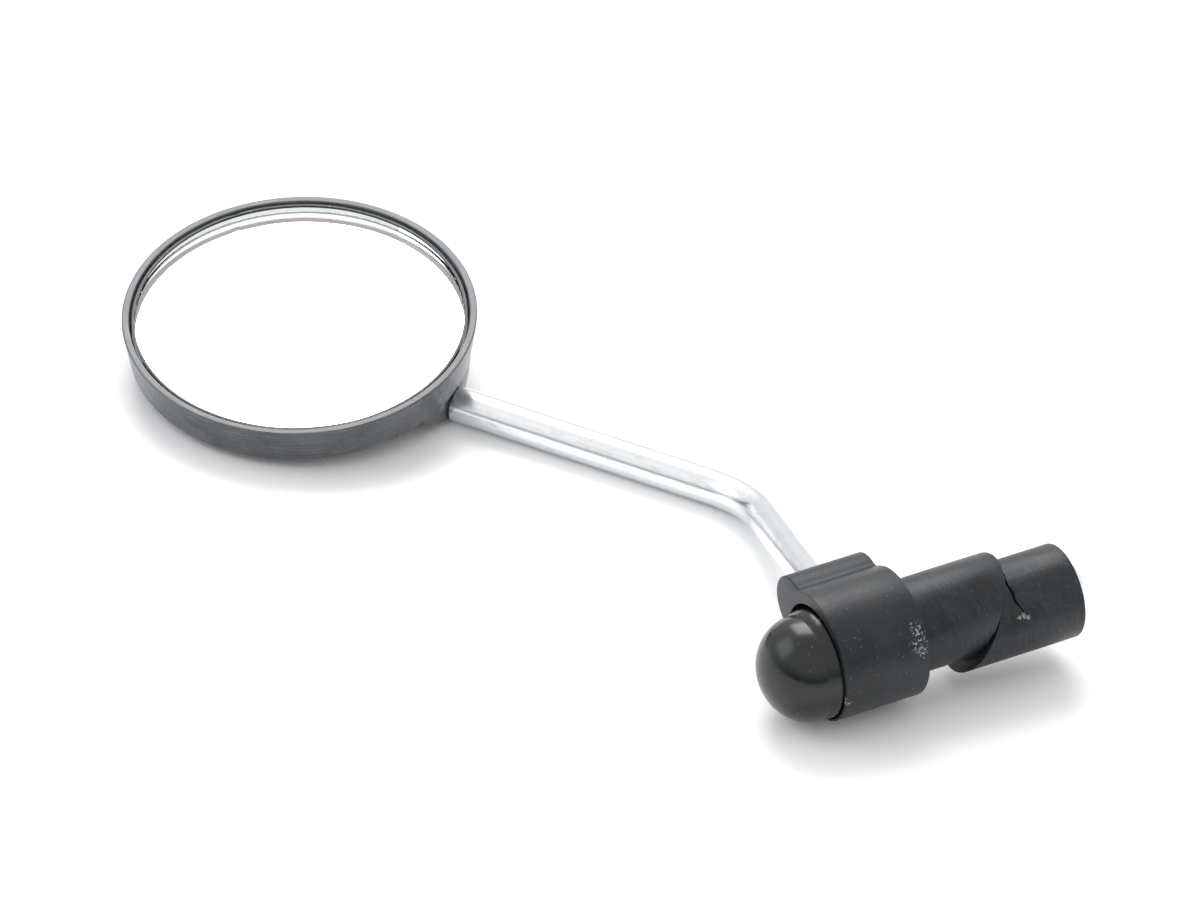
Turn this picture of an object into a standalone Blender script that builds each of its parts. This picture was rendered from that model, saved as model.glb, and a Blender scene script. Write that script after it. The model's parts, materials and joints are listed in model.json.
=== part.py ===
"""Bar-end bicycle mirror: round head on a bent steel arm, turning collar and expanding plug.

World frame, metres: +X runs along the straight of the arm from the head to the bend,
+Z is up with the mirror face up, and z = 0 is the surface that the arm and the collar lie on.
The origin is the middle of the whole mirror's footprint.
"""
import math

import bmesh
import bpy
from mathutils import Matrix, Vector

MM = 0.001
FIT = 0.30 * MM                     # gap between pieces that touch
RUN = 0.12 * MM                     # radial clearance of a turning piece
HEAD_X = -71.68 * MM                # the mirror's centre and the arm's axis from the origin
ARM_Y = 16.99 * MM

# Head
RIM_RADIUS = 36.0 * MM
BACK_RADIUS = 34.7 * MM
HEAD_DEPTH = 8.26 * MM
RIM_ABOVE_ARM = 12.0 * MM           # rim plane over the arm's axis
HEAD_SIDE_SHIFT = -1.3 * MM         # rim centre beside the arm's axis
HEAD_TILT = math.radians(9.03)      # turn of the head about the arm at rest
LAND_WIDTH = 1.6 * MM
FLOOR_BELOW_RIM = 5.5 * MM
GLASS_BELOW_RIM = 1.2 * MM
GLASS_THICKNESS = 3.0 * MM
PAD_THICKNESS = 0.8 * MM
BEZEL_BELOW_RIM = 0.45 * MM
BEZEL_HEIGHT = 0.5 * MM
BEZEL_WIDTH = 0.6 * MM
RIB_HALF_WIDTH = 11.6 * MM
RIB_NOSE_RADIUS = 3.55 * MM
RIB_SIDE_DEPTH = 1.2 * MM
RIB_OUTER_END = 34.2 * MM
RIB_INNER_END = 6.0 * MM
RIB_INNER_LEAN = 0.9                # run of the rib's inner end for its depth
POCKET_START = 14.5 * MM
POCKET_END = 20.2 * MM

# Arm
TUBE_RADIUS = 3.6 * MM
TUBE_BORE_RADIUS = 2.4 * MM
TUBE_START = RIB_OUTER_END + FIT
BEND_CORNER = 100.7 * MM            # where the two straights' axes would meet
BEND_RADIUS = 20.0 * MM
BEND_ANGLE = math.radians(51.75)
LOWER_RISE = 1.0 / 3.0              # rise of the lower straight for its sideways run
LOWER_LENGTH = 54.2 * MM            # corner to the boss's axis
FOOT_DEPTH = 1.5 * MM               # tube's end past the boss's axis
PIVOT_RADIUS = 1.8 * MM
PIVOT_SHANK = 9.0 * MM              # length pressed into the tube
PIVOT_END = 15.6 * MM
GROOVE_RADIUS = 2.85 * MM
GROOVE_BACK = 2.0 * MM              # groove's middle before the boss's axis
GROOVE_HALF_WIDTH = 1.75 * MM

# Clamp, along its axis: 0 is the collar's middle region and + goes into the bar
CLAMP_YAW = math.radians(52.98)
CLAMP_PITCH = math.radians(4.15)
CLAMP_ROLL = math.radians(4.4)
COLLAR_RADIUS = 13.08 * MM
COLLAR_START = -9.7 * MM
LIP_START = -10.8 * MM              # the ring stands past the boss at the cap's end
COLLAR_END = 7.47 * MM
BOSS_RADIUS = 6.32 * MM
BOSS_X = 12.02 * MM
BOSS_Y = 2.55 * MM
BOSS_FILLET = 2.6 * MM
ARM_STATION = -2.45 * MM            # where the arm's axis crosses the boss's
RECESS_RADIUS = 11.65 * MM
RECESS_X = -0.68 * MM               # the recess follows the cap, off the ring's centre
RECESS_Y = -0.73 * MM
SEAT_RADIUS = 9.65 * MM
RECESS_FLOOR = -7.6 * MM
HUB_RADIUS = 6.6 * MM
SPIGOT_RADIUS = 9.46 * MM
SCREW_HOLE_RADIUS = 2.9 * MM
CUT_STATION = 24.25 * MM            # where the oblique cut crosses the axis
CUT_ANGLE = math.radians(28.0)
CUT_DIRECTION = math.radians(76.0)  # side of the longest generatrix
CUT_GAP = 0.5 * MM
WEDGE_RADIUS = 9.55 * MM
WEDGE_SHIFT = 2.71 * MM
WEDGE_END = 43.7 * MM
SLOT_BACK = -2.85 * MM
SLOT_FRONT = 1.65 * MM
NUT_BACK = -2.9 * MM
NUT_FRONT = 0.7 * MM
CAP_RADIUS = 10.53 * MM
CAP_BASE = -7.9 * MM
CAP_SPRING = -13.57 * MM
CAP_CROWN = 9.25 * MM
CAP_SHIFT_X = -1.07 * MM
CAP_SHIFT_Y = -1.15 * MM
CAP_BASE_RADIUS = 11.1 * MM
CAP_FLARE = 2.97 * MM               # height over which the flank widens to its base
CAP_LEAN_X = 0.25 * MM
CAP_LEAN_Y = 0.27 * MM

# Fasteners
SCREW_RADIUS = 2.5 * MM
SCREW_HEAD_RADIUS = 4.25 * MM
SCREW_HEAD_HEIGHT = 5.0 * MM
SCREW_SOCKET_RADIUS = 2.31 * MM
SCREW_HEAD_SEAT = -10.6 * MM
SCREW_END = 47.6 * MM
SCREW_LEAN = math.radians(2.89)    # the screw follows the wedge to one side
NUT_RADIUS = 4.62 * MM
NUT_HEIGHT = 4.0 * MM
NUT_SUNK = 0.8 * MM
LOCK_PIN_RADIUS = 1.0 * MM

ROUND = 64                          # sides of the large round pieces
SMALL_ROUND = 32


# ---------------------------------------------------------------- shared steps
def clear_scene():
    for item in list(bpy.data.objects):
        bpy.data.objects.remove(item, do_unlink=True)


def material(name, colour, roughness, metallic=0.0):
    mat = bpy.data.materials.new(name)
    mat.use_nodes = True
    shader = mat.node_tree.nodes["Principled BSDF"]
    shader.inputs["Base Color"].default_value = (*colour, 1.0)
    shader.inputs["Roughness"].default_value = roughness
    shader.inputs["Metallic"].default_value = metallic
    return mat


def finish(bm, name, parent, mat, sharp=35.0):
    """Turns a closed bmesh into a named object under its parent."""
    bmesh.ops.remove_doubles(bm, verts=bm.verts, dist=1e-7)
    bmesh.ops.recalc_face_normals(bm, faces=bm.faces)
    mesh = bpy.data.meshes.new(name)
    bm.to_mesh(mesh)
    bm.free()
    mesh.shade_smooth()
    mesh.set_sharp_from_angle(angle=math.radians(sharp))
    obj = bpy.data.objects.new(name, mesh)
    bpy.context.scene.collection.objects.link(obj)
    obj.parent = parent
    if mat is not None:
        mesh.materials.append(mat)
    return obj


def empty(name, matrix, parent=None):
    obj = bpy.data.objects.new(name, None)
    obj.empty_display_size = 10 * MM
    bpy.context.scene.collection.objects.link(obj)
    obj.parent = parent
    obj.matrix_basis = matrix
    return obj


def turned(profile, steps=ROUND, centre=(0.0, 0.0)):
    """Solid of revolution about local Z from a closed outline of (radius, height)."""
    bm = bmesh.new()
    verts = [bm.verts.new((radius, 0.0, height)) for radius, height in profile]
    edges = [bm.edges.new((verts[i - 1], verts[i])) for i in range(len(verts))]
    bmesh.ops.spin(bm, geom=verts + edges, cent=(0, 0, 0), axis=(0, 0, 1),
                   angle=math.tau, steps=steps, use_merge=True, use_normal_flip=False)
    bmesh.ops.remove_doubles(bm, verts=bm.verts, dist=1e-7)
    bmesh.ops.dissolve_degenerate(bm, edges=bm.edges, dist=1e-7)
    bmesh.ops.translate(bm, verts=bm.verts, vec=(centre[0], centre[1], 0.0))
    return bm


def extruded(outline, low, high):
    """Prism along local Z over a closed outline of (x, y)."""
    bm = bmesh.new()
    verts = [bm.verts.new((x, y, low)) for x, y in outline]
    face = bm.faces.new(verts)
    grown = bmesh.ops.extrude_face_region(bm, geom=[face])
    moved = [item for item in grown["geom"] if isinstance(item, bmesh.types.BMVert)]
    bmesh.ops.translate(bm, verts=moved, vec=(0.0, 0.0, high - low))
    return bm


def skinned(rings, capped=True):
    """Joins equal rings of points with quads, with a face on each end or end joined to start."""
    bm = bmesh.new()
    rows = [[bm.verts.new(point) for point in ring] for ring in rings]
    count = len(rows[0])
    for k in range(len(rows) if not capped else len(rows) - 1):
        row, following = rows[k], rows[(k + 1) % len(rows)]
        for i in range(count):
            j = (i + 1) % count
            bm.faces.new((row[i], row[j], following[j], following[i]))
    if capped:
        bm.faces.new(rows[0])
        bm.faces.new(rows[-1])
    return bm


def arc(centre, radius, start, end, steps):
    """Points of an arc between two angles, both ends included."""
    return [(centre[0] + radius * math.cos(start + (end - start) * k / steps),
             centre[1] + radius * math.sin(start + (end - start) * k / steps))
            for k in range(steps + 1)]


def ring_profile(inner, outer, low, high, edge=0.0):
    if edge <= 0.0:
        return [(inner, low), (outer, low), (outer, high), (inner, high)]
    return [(inner, low), (outer - edge, low), (outer, low + edge),
            (outer, high - edge), (outer - edge, high), (inner, high)]


def cutter(bm, name, parent):
    obj = finish(bm, name, parent, None)
    obj.hide_render = True
    obj.display_type = "WIRE"
    return obj


def combine(obj, other, operation):
    step = obj.modifiers.new(other.name, "BOOLEAN")
    step.object = other
    step.operation = operation
    step.solver = "EXACT"
    return step


def bevelled(obj, width, angle=50.0, segments=2):
    step = obj.modifiers.new("edges", "BEVEL")
    step.width = width
    step.segments = segments
    step.limit_method = "ANGLE"
    step.angle_limit = math.radians(angle)
    step.use_clamp_overlap = True
    return step


# ---------------------------------------------------------------- frames
def basis(x_axis, y_axis, z_axis, place):
    matrix = Matrix((x_axis, y_axis, z_axis)).transposed().to_4x4()
    matrix.translation = place
    return matrix


def head_matrix():
    """Local X is the arm's axis, local Z the mirror's normal."""
    return Matrix.Translation((0.0, 0.0, TUBE_RADIUS)) @ Matrix.Rotation(HEAD_TILT, 4, "X")


def lower_direction():
    across = math.sin(BEND_ANGLE)
    along = math.cos(BEND_ANGLE)
    side = -math.sqrt(across ** 2 / (1.0 + LOWER_RISE ** 2))
    return Vector((along, side, -side * LOWER_RISE))


def arm_matrix():
    """At the boss, local Z along the lower straight and the bend in local XZ."""
    down = lower_direction()
    corner = Vector((BEND_CORNER, 0.0, TUBE_RADIUS))
    back = Vector((-1.0, 0.0, 0.0))
    side = (back - down * back.dot(down)).normalized()
    return basis(side, down.cross(side), down, corner + down * LOWER_LENGTH)


def clamp_matrix():
    """Local Z into the handlebar, local X towards the boss."""
    turn = (Matrix.Rotation(CLAMP_YAW, 4, "Z") @ Matrix.Rotation(-CLAMP_PITCH, 4, "Y")
            @ Matrix.Rotation(CLAMP_ROLL, 4, "X"))
    into_bar = turn @ Vector((1, 0, 0))
    to_boss = turn @ Vector((0, 1, 0))
    upward = turn @ Vector((0, 0, 1))
    boss = arm_matrix().translation
    place = boss - to_boss * BOSS_X - upward * BOSS_Y - into_bar * ARM_STATION
    return basis(to_boss, upward, into_bar, place)


def screw_matrix():
    """The clamp's frame leaned about the screw's seat, so that local Z is the screw's axis."""
    tilt_axis = Vector((-math.sin(CUT_DIRECTION), math.cos(CUT_DIRECTION), 0.0))
    seat = Matrix.Translation((0.0, 0.0, SCREW_HEAD_SEAT))
    return clamp_matrix() @ seat @ Matrix.Rotation(-SCREW_LEAN, 4, tilt_axis) @ seat.inverted()


# ---------------------------------------------------------------- head
def rim_turned(profile, steps=96):
    """Revolves a profile given from the rim plane about the mirror's own centre line."""
    raised = [(radius, RIM_ABOVE_ARM + height) for radius, height in profile]
    return turned(raised, steps, (0.0, HEAD_SIDE_SHIFT))


def rib_outline(nose, half_width, shoulder, top):
    """Round nose about the arm's axis, sloping flanks, then upright sides."""
    reach = math.hypot(half_width, shoulder)
    tangent = math.atan2(shoulder, half_width) - math.acos(nose / reach)
    nose_points = arc((0.0, 0.0), nose, math.pi - tangent, math.tau + tangent, 16)
    left = [(-half_width, top), (-half_width, shoulder)]
    return left + nose_points + [(half_width, shoulder), (half_width, top)]


def along_arm(outline, start, end):
    """Prism along the arm's axis over an outline of (y, z)."""
    bm = extruded(outline, start, end)
    turn = Matrix(((0, 0, 1, 0), (1, 0, 0, 0), (0, 1, 0, 0), (0, 0, 0, 1)))
    bmesh.ops.transform(bm, matrix=turn, verts=bm.verts)
    return bm


def mirror_housing(head, mat):
    land = RIM_RADIUS - LAND_WIDTH
    slope = (RIM_RADIUS - BACK_RADIUS) / HEAD_DEPTH
    low_edge = 0.7 * MM
    top_edge = 0.4 * MM
    profile = [(0.0, -HEAD_DEPTH), (BACK_RADIUS - low_edge, -HEAD_DEPTH),
               (BACK_RADIUS - 0.2 * low_edge, -HEAD_DEPTH + 0.25 * low_edge),
               (BACK_RADIUS + slope * low_edge, -HEAD_DEPTH + low_edge),
               (RIM_RADIUS - slope * top_edge, -top_edge),
               (RIM_RADIUS - 0.3 * top_edge, -0.3 * top_edge),
               (RIM_RADIUS - top_edge, 0.0), (land + 0.1 * MM, 0.0),
               (land, -0.1 * MM), (land, -FLOOR_BELOW_RIM), (0.0, -FLOOR_BELOW_RIM)]
    obj = finish(rim_turned(profile), "mirror_housing", head, mat)

    back = RIM_ABOVE_ARM - HEAD_DEPTH
    outline = rib_outline(RIB_NOSE_RADIUS, RIB_HALF_WIDTH, back - RIB_SIDE_DEPTH, back + MM)
    rib = cutter(along_arm(outline, RIB_INNER_END, RIB_OUTER_END), "cut_rib", head)
    for vert in rib.data.vertices:
        if abs(vert.co.x - RIB_INNER_END) < 1e-6:
            vert.co.x += max(0.0, back - vert.co.z) * RIB_INNER_LEAN
    wall_line = ring_profile(0.0, BACK_RADIUS - 0.15 * MM, -20 * MM, 0.0)
    combine(rib, cutter(rim_turned(wall_line), "cut_rib_round", head), "INTERSECT")
    combine(obj, rib, "UNION")

    bore_radius = bush_outer_radius() + 0.1 * MM
    bore = turned(ring_profile(0.0, bore_radius, POCKET_END - MM, RIB_OUTER_END + MM), SMALL_ROUND)
    bmesh.ops.rotate(bore, matrix=Matrix.Rotation(math.pi / 2, 3, "Y"), verts=bore.verts)
    combine(obj, cutter(bore, "cut_bush_bore", head), "DIFFERENCE")

    ceiling = RIM_ABOVE_ARM - FLOOR_BELOW_RIM + MM
    trough = ([(-bore_radius, ceiling)] + arc((0, 0), bore_radius, math.pi, math.tau, 12)
              + [(bore_radius, ceiling)])
    pocket = cutter(along_arm(trough, POCKET_START, POCKET_END), "cut_clip_pocket", head)
    combine(obj, pocket, "DIFFERENCE")
    return obj


def bush_outer_radius():
    return 2.85 * MM


def glass_bezel(head, mat):
    outer = RIM_RADIUS - LAND_WIDTH - FIT
    top = -BEZEL_BELOW_RIM
    low = top - BEZEL_HEIGHT
    profile = [(outer - BEZEL_WIDTH, low), (outer, low), (outer, top - 0.1 * MM),
               (outer - 0.1 * MM, top), (outer - BEZEL_WIDTH + 0.15 * MM, top),
               (outer - BEZEL_WIDTH, top - 0.15 * MM)]
    return finish(rim_turned(profile), "glass_bezel", head, mat)


def mirror_glass(head, mat):
    radius = RIM_RADIUS - LAND_WIDTH - 0.4 * MM
    low = -GLASS_BELOW_RIM - GLASS_THICKNESS
    profile = ring_profile(0.0, radius, low, -GLASS_BELOW_RIM, 0.25 * MM)
    return finish(rim_turned(profile), "mirror_glass", head, mat)


def glass_pad(head, mat):
    top = -GLASS_BELOW_RIM - GLASS_THICKNESS - 0.25 * MM
    profile = ring_profile(0.0, 33.0 * MM, top - PAD_THICKNESS, top)
    return finish(rim_turned(profile, ROUND), "glass_pad", head, mat)


def on_arm_axis(bm, name, parent, mat):
    """Turns a piece made about local Z onto the arm's axis, local X."""
    bmesh.ops.rotate(bm, matrix=Matrix.Rotation(math.pi / 2, 3, "Y"), verts=bm.verts)
    return finish(bm, name, parent, mat)


def head_bush(head, mat):
    profile = ring_profile(PIVOT_RADIUS + RUN, bush_outer_radius(),
                           POCKET_END + 0.2 * MM, RIB_OUTER_END - 0.2 * MM)
    return on_arm_axis(turned(profile, SMALL_ROUND), "head_bush", head, mat)


def head_wave_washer(head, mat):
    """Thin ring with three waves, pressed between the bush's wall and the flat washer."""
    inner, outer = PIVOT_RADIUS + 0.15 * MM, 2.7 * MM
    middle, half, wave = 19.55 * MM, 0.15 * MM, 0.22 * MM
    rings = []
    for k in range(36):
        angle = math.tau * k / 36
        height = middle + wave * math.cos(3 * angle)
        along = Vector((math.cos(angle), math.sin(angle), 0.0))
        up = Vector((0.0, 0.0, 1.0))
        rings.append([along * inner + up * (height - half), along * outer + up * (height - half),
                      along * outer + up * (height + half), along * inner + up * (height + half)])
    return on_arm_axis(skinned(rings, capped=False), "head_wave_washer", head, mat)


def head_washer(arm_line, mat):
    profile = ring_profile(PIVOT_RADIUS + 0.1 * MM, 2.7 * MM, 18.2 * MM, 18.9 * MM, 0.1 * MM)
    return on_arm_axis(turned(profile, SMALL_ROUND), "head_washer", arm_line, mat)


CLIP_LOW = 17.1 * MM
CLIP_HIGH = 17.8 * MM
CLIP_GROOVE_RADIUS = 1.35 * MM


def head_clip(arm_line, mat):
    """Open retaining ring in the pivot's groove."""
    inner, outer = CLIP_GROOVE_RADIUS + 0.1 * MM, 2.6 * MM
    opening = math.radians(38.0)
    steps = 28
    outside = arc((0, 0), outer, opening, math.tau - opening, steps)
    inside = arc((0, 0), inner, math.tau - opening * 0.8, opening * 0.8, steps)
    return on_arm_axis(extruded(outside + inside, CLIP_LOW, CLIP_HIGH), "head_clip", arm_line, mat)


def head_pivot_pin(arm_line, mat):
    shank = TUBE_BORE_RADIUS - 0.1 * MM
    profile = [(0.0, PIVOT_END), (PIVOT_RADIUS - 0.3 * MM, PIVOT_END),
               (PIVOT_RADIUS, PIVOT_END + 0.3 * MM), (PIVOT_RADIUS, CLIP_LOW - 0.1 * MM),
               (CLIP_GROOVE_RADIUS, CLIP_LOW - 0.1 * MM), (CLIP_GROOVE_RADIUS, CLIP_HIGH + 0.1 * MM),
               (PIVOT_RADIUS, CLIP_HIGH + 0.1 * MM), (PIVOT_RADIUS, TUBE_START),
               (shank, TUBE_START), (shank, TUBE_START + PIVOT_SHANK), (0.0, TUBE_START + PIVOT_SHANK)]
    return on_arm_axis(turned(profile, SMALL_ROUND), "head_pivot_pin", arm_line, mat)


# ---------------------------------------------------------------- arm
def arm_path():
    """Stations from the foot to the head: place, tangent and side, all in local XZ."""
    tangent_length = BEND_RADIUS * math.tan(BEND_ANGLE / 2)
    upward = Vector((0.0, 0.0, -1.0))
    away = Vector((math.sin(BEND_ANGLE), 0.0, -math.cos(BEND_ANGLE)))
    corner = Vector((0.0, 0.0, -LOWER_LENGTH))
    turn_centre = corner - upward * tangent_length + Vector((BEND_RADIUS, 0.0, 0.0))
    stations = [(Vector((0.0, 0.0, FOOT_DEPTH)), upward)]
    bend_steps = 10
    for k in range(bend_steps + 1):
        angle = BEND_ANGLE * k / bend_steps
        spoke = Vector((-math.cos(angle), 0.0, -math.sin(angle)))
        stations.append((turn_centre + spoke * BEND_RADIUS,
                         Vector((math.sin(angle), 0.0, -math.cos(angle)))))
    stations.append((corner + away * (BEND_CORNER - TUBE_START), away))
    return stations


def cross_ring(place, tangent, radius, sides=SMALL_ROUND):
    across = Vector((0.0, 1.0, 0.0))
    other = across.cross(tangent).normalized()
    return [place + across * (radius * math.cos(math.tau * i / sides))
            + other * (radius * math.sin(math.tau * i / sides)) for i in range(sides)]


def arm_tube(arm, mat):
    """Hollow bent tube with the locking groove turned near its foot."""
    stations = arm_path()
    foot, upward = stations[0]
    groove_low = -GROOVE_BACK + GROOVE_HALF_WIDTH
    groove_high = -GROOVE_BACK - GROOVE_HALF_WIDTH
    steps = [(groove_low, TUBE_RADIUS), (groove_low, GROOVE_RADIUS),
             (groove_high, GROOVE_RADIUS), (groove_high, TUBE_RADIUS)]
    rings = [cross_ring(foot, upward, TUBE_RADIUS)]
    rings += [cross_ring(Vector((0.0, 0.0, height)), upward, radius) for height, radius in steps]
    rings += [cross_ring(place, tangent, TUBE_RADIUS) for place, tangent in stations[1:]]
    rings += [cross_ring(place, tangent, TUBE_BORE_RADIUS)
              for place, tangent in reversed(stations)]
    return finish(skinned(rings, capped=False), "arm_tube", arm, mat)


def arm_foot_plug(arm, mat):
    radius = TUBE_BORE_RADIUS - 0.15 * MM
    profile = ring_profile(0.0, radius, -5.0 * MM, FOOT_DEPTH - 0.2 * MM, 0.3 * MM)
    return finish(turned(profile, SMALL_ROUND), "arm_foot_plug", arm, mat)


# ---------------------------------------------------------------- clamp
def collar_outline():
    """Ring and boss circles joined by hollow fillets, about the plug's axis."""
    distance = math.hypot(BOSS_X, BOSS_Y)
    heading = math.atan2(BOSS_Y, BOSS_X)
    ring_reach = COLLAR_RADIUS + BOSS_FILLET
    boss_reach = BOSS_RADIUS + BOSS_FILLET
    along = (distance ** 2 + ring_reach ** 2 - boss_reach ** 2) / (2 * distance)
    beside = math.sqrt(ring_reach ** 2 - along ** 2)
    ring_touch = math.atan2(beside, along)
    boss_touch = math.atan2(beside, along - distance)
    fillet = (along, beside)
    lower = (along, -beside)
    points = arc((0, 0), COLLAR_RADIUS, ring_touch, math.tau - ring_touch, 52)
    points += arc(lower, BOSS_FILLET, math.pi - ring_touch, math.pi - boss_touch, 6)[1:]
    points += arc((distance, 0), BOSS_RADIUS, -boss_touch, boss_touch, 28)[1:]
    points += arc(fillet, BOSS_FILLET, math.pi + boss_touch, math.pi + ring_touch, 6)[1:-1]
    turn = Matrix.Rotation(heading, 2)
    return [tuple(turn @ Vector(point)) for point in points]


def lock_pin_place():
    """Centre of the pin beside the arm's groove, in the clamp's local XY."""
    down = clamp_matrix().to_3x3().transposed() @ lower_direction()
    beside = Vector((down.y, -down.x)).normalized()
    if beside.y < 0:
        beside = -beside
    reach = GROOVE_RADIUS + 0.1 * MM + LOCK_PIN_RADIUS
    return (BOSS_X + beside.x * reach - down.x * GROOVE_BACK,
            BOSS_Y + beside.y * reach - down.y * GROOVE_BACK)


def bar_collar(clamp, arm, mat):
    obj = finish(extruded(collar_outline(), COLLAR_START, COLLAR_END), "bar_collar", clamp, mat)
    bevelled(obj, 0.35 * MM, angle=60.0)
    edge = 0.25 * MM
    inside = RECESS_RADIUS - 2 * MM
    lip = [(inside, LIP_START), (COLLAR_RADIUS - edge, LIP_START),
           (COLLAR_RADIUS, LIP_START + edge), (COLLAR_RADIUS, RECESS_FLOOR - MM),
           (inside, RECESS_FLOOR - MM)]
    combine(obj, cutter(turned(lip, 96), "cut_lip", clamp), "UNION")
    cuts = {
        "cut_hub_bore": ring_profile(0.0, HUB_RADIUS + RUN, RECESS_FLOOR - MM, COLLAR_END + MM),
        "cut_friction_seat": ring_profile(0.0, SEAT_RADIUS, COLLAR_END - 1.25 * MM,
                                          COLLAR_END + MM),
    }
    for name, profile in cuts.items():
        combine(obj, cutter(turned(profile), name, clamp), "DIFFERENCE")
    recess = turned(ring_profile(0.0, RECESS_RADIUS, LIP_START - MM, RECESS_FLOOR), 96,
                    (RECESS_X, RECESS_Y))
    combine(obj, cutter(recess, "cut_cap_recess", clamp), "DIFFERENCE")
    arm_bore = ring_profile(0.0, TUBE_RADIUS + RUN, -16.0 * MM, FOOT_DEPTH + 0.3 * MM)
    combine(obj, cutter(turned(arm_bore, SMALL_ROUND), "cut_arm_bore", arm), "DIFFERENCE")
    pin_bore = ring_profile(0.0, LOCK_PIN_RADIUS + 0.1 * MM, -7.6 * MM, COLLAR_END + MM)
    pin_hole = cutter(turned(pin_bore, 16, lock_pin_place()), "cut_pin_hole", clamp)
    combine(obj, pin_hole, "DIFFERENCE")
    return obj


def arm_lock_pin(clamp, mat):
    profile = ring_profile(0.0, LOCK_PIN_RADIUS, -7.3 * MM, 7.0 * MM, 0.2 * MM)
    return finish(turned(profile, 16, lock_pin_place()), "arm_lock_pin", clamp, mat)


def collar_friction_ring(clamp, mat):
    profile = ring_profile(HUB_RADIUS + 0.3 * MM, 9.1 * MM, 6.5 * MM, 7.42 * MM)
    return finish(turned(profile), "collar_friction_ring", clamp, mat)


def oblique_cutter(name, parent, keep_below, offset):
    """Half space beyond, or before, the oblique cut, moved off it along its normal."""
    long_side = Vector((math.cos(CUT_DIRECTION), math.sin(CUT_DIRECTION), 0.0))
    normal = Vector((0, 0, 1)) * math.cos(CUT_ANGLE) - long_side * math.sin(CUT_ANGLE)
    level = Vector((0, 0, 1)).cross(long_side)
    slope = level.cross(normal)
    size = 40.0 * MM
    bm = bmesh.new()
    bmesh.ops.create_cube(bm, size=2 * size)
    shift = Vector((0, 0, size if keep_below else -size))
    bmesh.ops.translate(bm, verts=bm.verts, vec=shift)
    place = Vector((0, 0, CUT_STATION)) + normal * offset
    frame = basis(slope, level, normal, place)
    if frame.determinant() < 0:
        frame = basis(-slope, level, normal, place)
    bmesh.ops.transform(bm, matrix=frame, verts=bm.verts)
    return cutter(bm, name, parent)


def plug_body(clamp, screw_line, mat):
    shoulder = COLLAR_END + FIT
    far = CUT_STATION + 12 * MM
    hub_end = RECESS_FLOOR - 0.2 * MM
    profile = [(0.0, hub_end), (HUB_RADIUS - 0.3 * MM, hub_end),
               (HUB_RADIUS, hub_end + 0.3 * MM), (HUB_RADIUS, shoulder),
               (SPIGOT_RADIUS - 0.2 * MM, shoulder), (SPIGOT_RADIUS, shoulder + 0.2 * MM),
               (SPIGOT_RADIUS, far), (0.0, far)]
    obj = finish(turned(profile), "plug_body", clamp, mat)
    combine(obj, oblique_cutter("cut_plug_slope", clamp, True, 0.0), "DIFFERENCE")
    hole = turned(ring_profile(0.0, SCREW_HOLE_RADIUS, -12 * MM, 40 * MM), SMALL_ROUND)
    combine(obj, cutter(hole, "cut_plug_hole", screw_line), "DIFFERENCE")
    return obj


def wedge_centre():
    return (-WEDGE_SHIFT * math.cos(CUT_DIRECTION), -WEDGE_SHIFT * math.sin(CUT_DIRECTION))


def turned_to_cut(outline, centre):
    turn = Matrix.Rotation(CUT_DIRECTION, 2)
    placed = []
    for point in outline:
        spun = turn @ Vector(point)
        placed.append((spun.x + centre[0], spun.y + centre[1]))
    return placed


def expander_wedge(clamp, mat):
    """Round slug with the matching slope, a slot for the screw and a sliding seat for the nut."""
    centre = wedge_centre()
    start = CUT_STATION - 12 * MM
    edge = 0.5 * MM
    profile = [(0.0, start), (WEDGE_RADIUS, start), (WEDGE_RADIUS, WEDGE_END - edge),
               (WEDGE_RADIUS - edge, WEDGE_END), (0.0, WEDGE_END)]
    obj = finish(turned(profile, ROUND, centre), "expander_wedge", clamp, mat)
    combine(obj, oblique_cutter("cut_wedge_slope", clamp, False, CUT_GAP), "DIFFERENCE")

    slot = (arc((SLOT_BACK, 0.0), SCREW_HOLE_RADIUS, math.pi / 2, 3 * math.pi / 2, 10)
            + arc((SLOT_FRONT, 0.0), SCREW_HOLE_RADIUS, -math.pi / 2, math.pi / 2, 10))
    slot_bm = extruded(turned_to_cut(slot, centre), 0.0, WEDGE_END + MM)
    combine(obj, cutter(slot_bm, "cut_screw_slot", clamp), "DIFFERENCE")

    back, front = NUT_BACK - NUT_RADIUS - FIT, NUT_FRONT + NUT_RADIUS + FIT
    half = 4.25 * MM
    seat = [(back, -half), (front, -half), (front, half), (back, half)]
    seat_bm = extruded(turned_to_cut(seat, centre), WEDGE_END - NUT_SUNK - FIT, WEDGE_END + MM)
    combine(obj, cutter(seat_bm, "cut_nut_seat", clamp), "DIFFERENCE")
    return obj


def hexagon(radius, heading):
    return [(radius * math.cos(heading + k * math.pi / 3),
             radius * math.sin(heading + k * math.pi / 3)) for k in range(6)]


def wedge_nut(screw_line, mat):
    low = WEDGE_END - NUT_SUNK
    high = low + NUT_HEIGHT
    obj = finish(extruded(hexagon(NUT_RADIUS, CUT_DIRECTION), low, high), "wedge_nut", screw_line, mat)
    corner = 0.55 * MM
    lens = turned([(SCREW_RADIUS + 0.15 * MM, low - MM), (NUT_RADIUS - 2 * corner, low - MM),
                   (NUT_RADIUS - 2 * corner, low), (NUT_RADIUS + 0.1 * MM, low + corner),
                   (NUT_RADIUS + 0.1 * MM, high - corner), (NUT_RADIUS - 2 * corner, high),
                   (NUT_RADIUS - 2 * corner, high + MM), (SCREW_RADIUS + 0.15 * MM, high + MM)],
                  SMALL_ROUND)
    combine(obj, cutter(lens, "cut_nut_chamfer", screw_line), "INTERSECT")
    return obj


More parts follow.
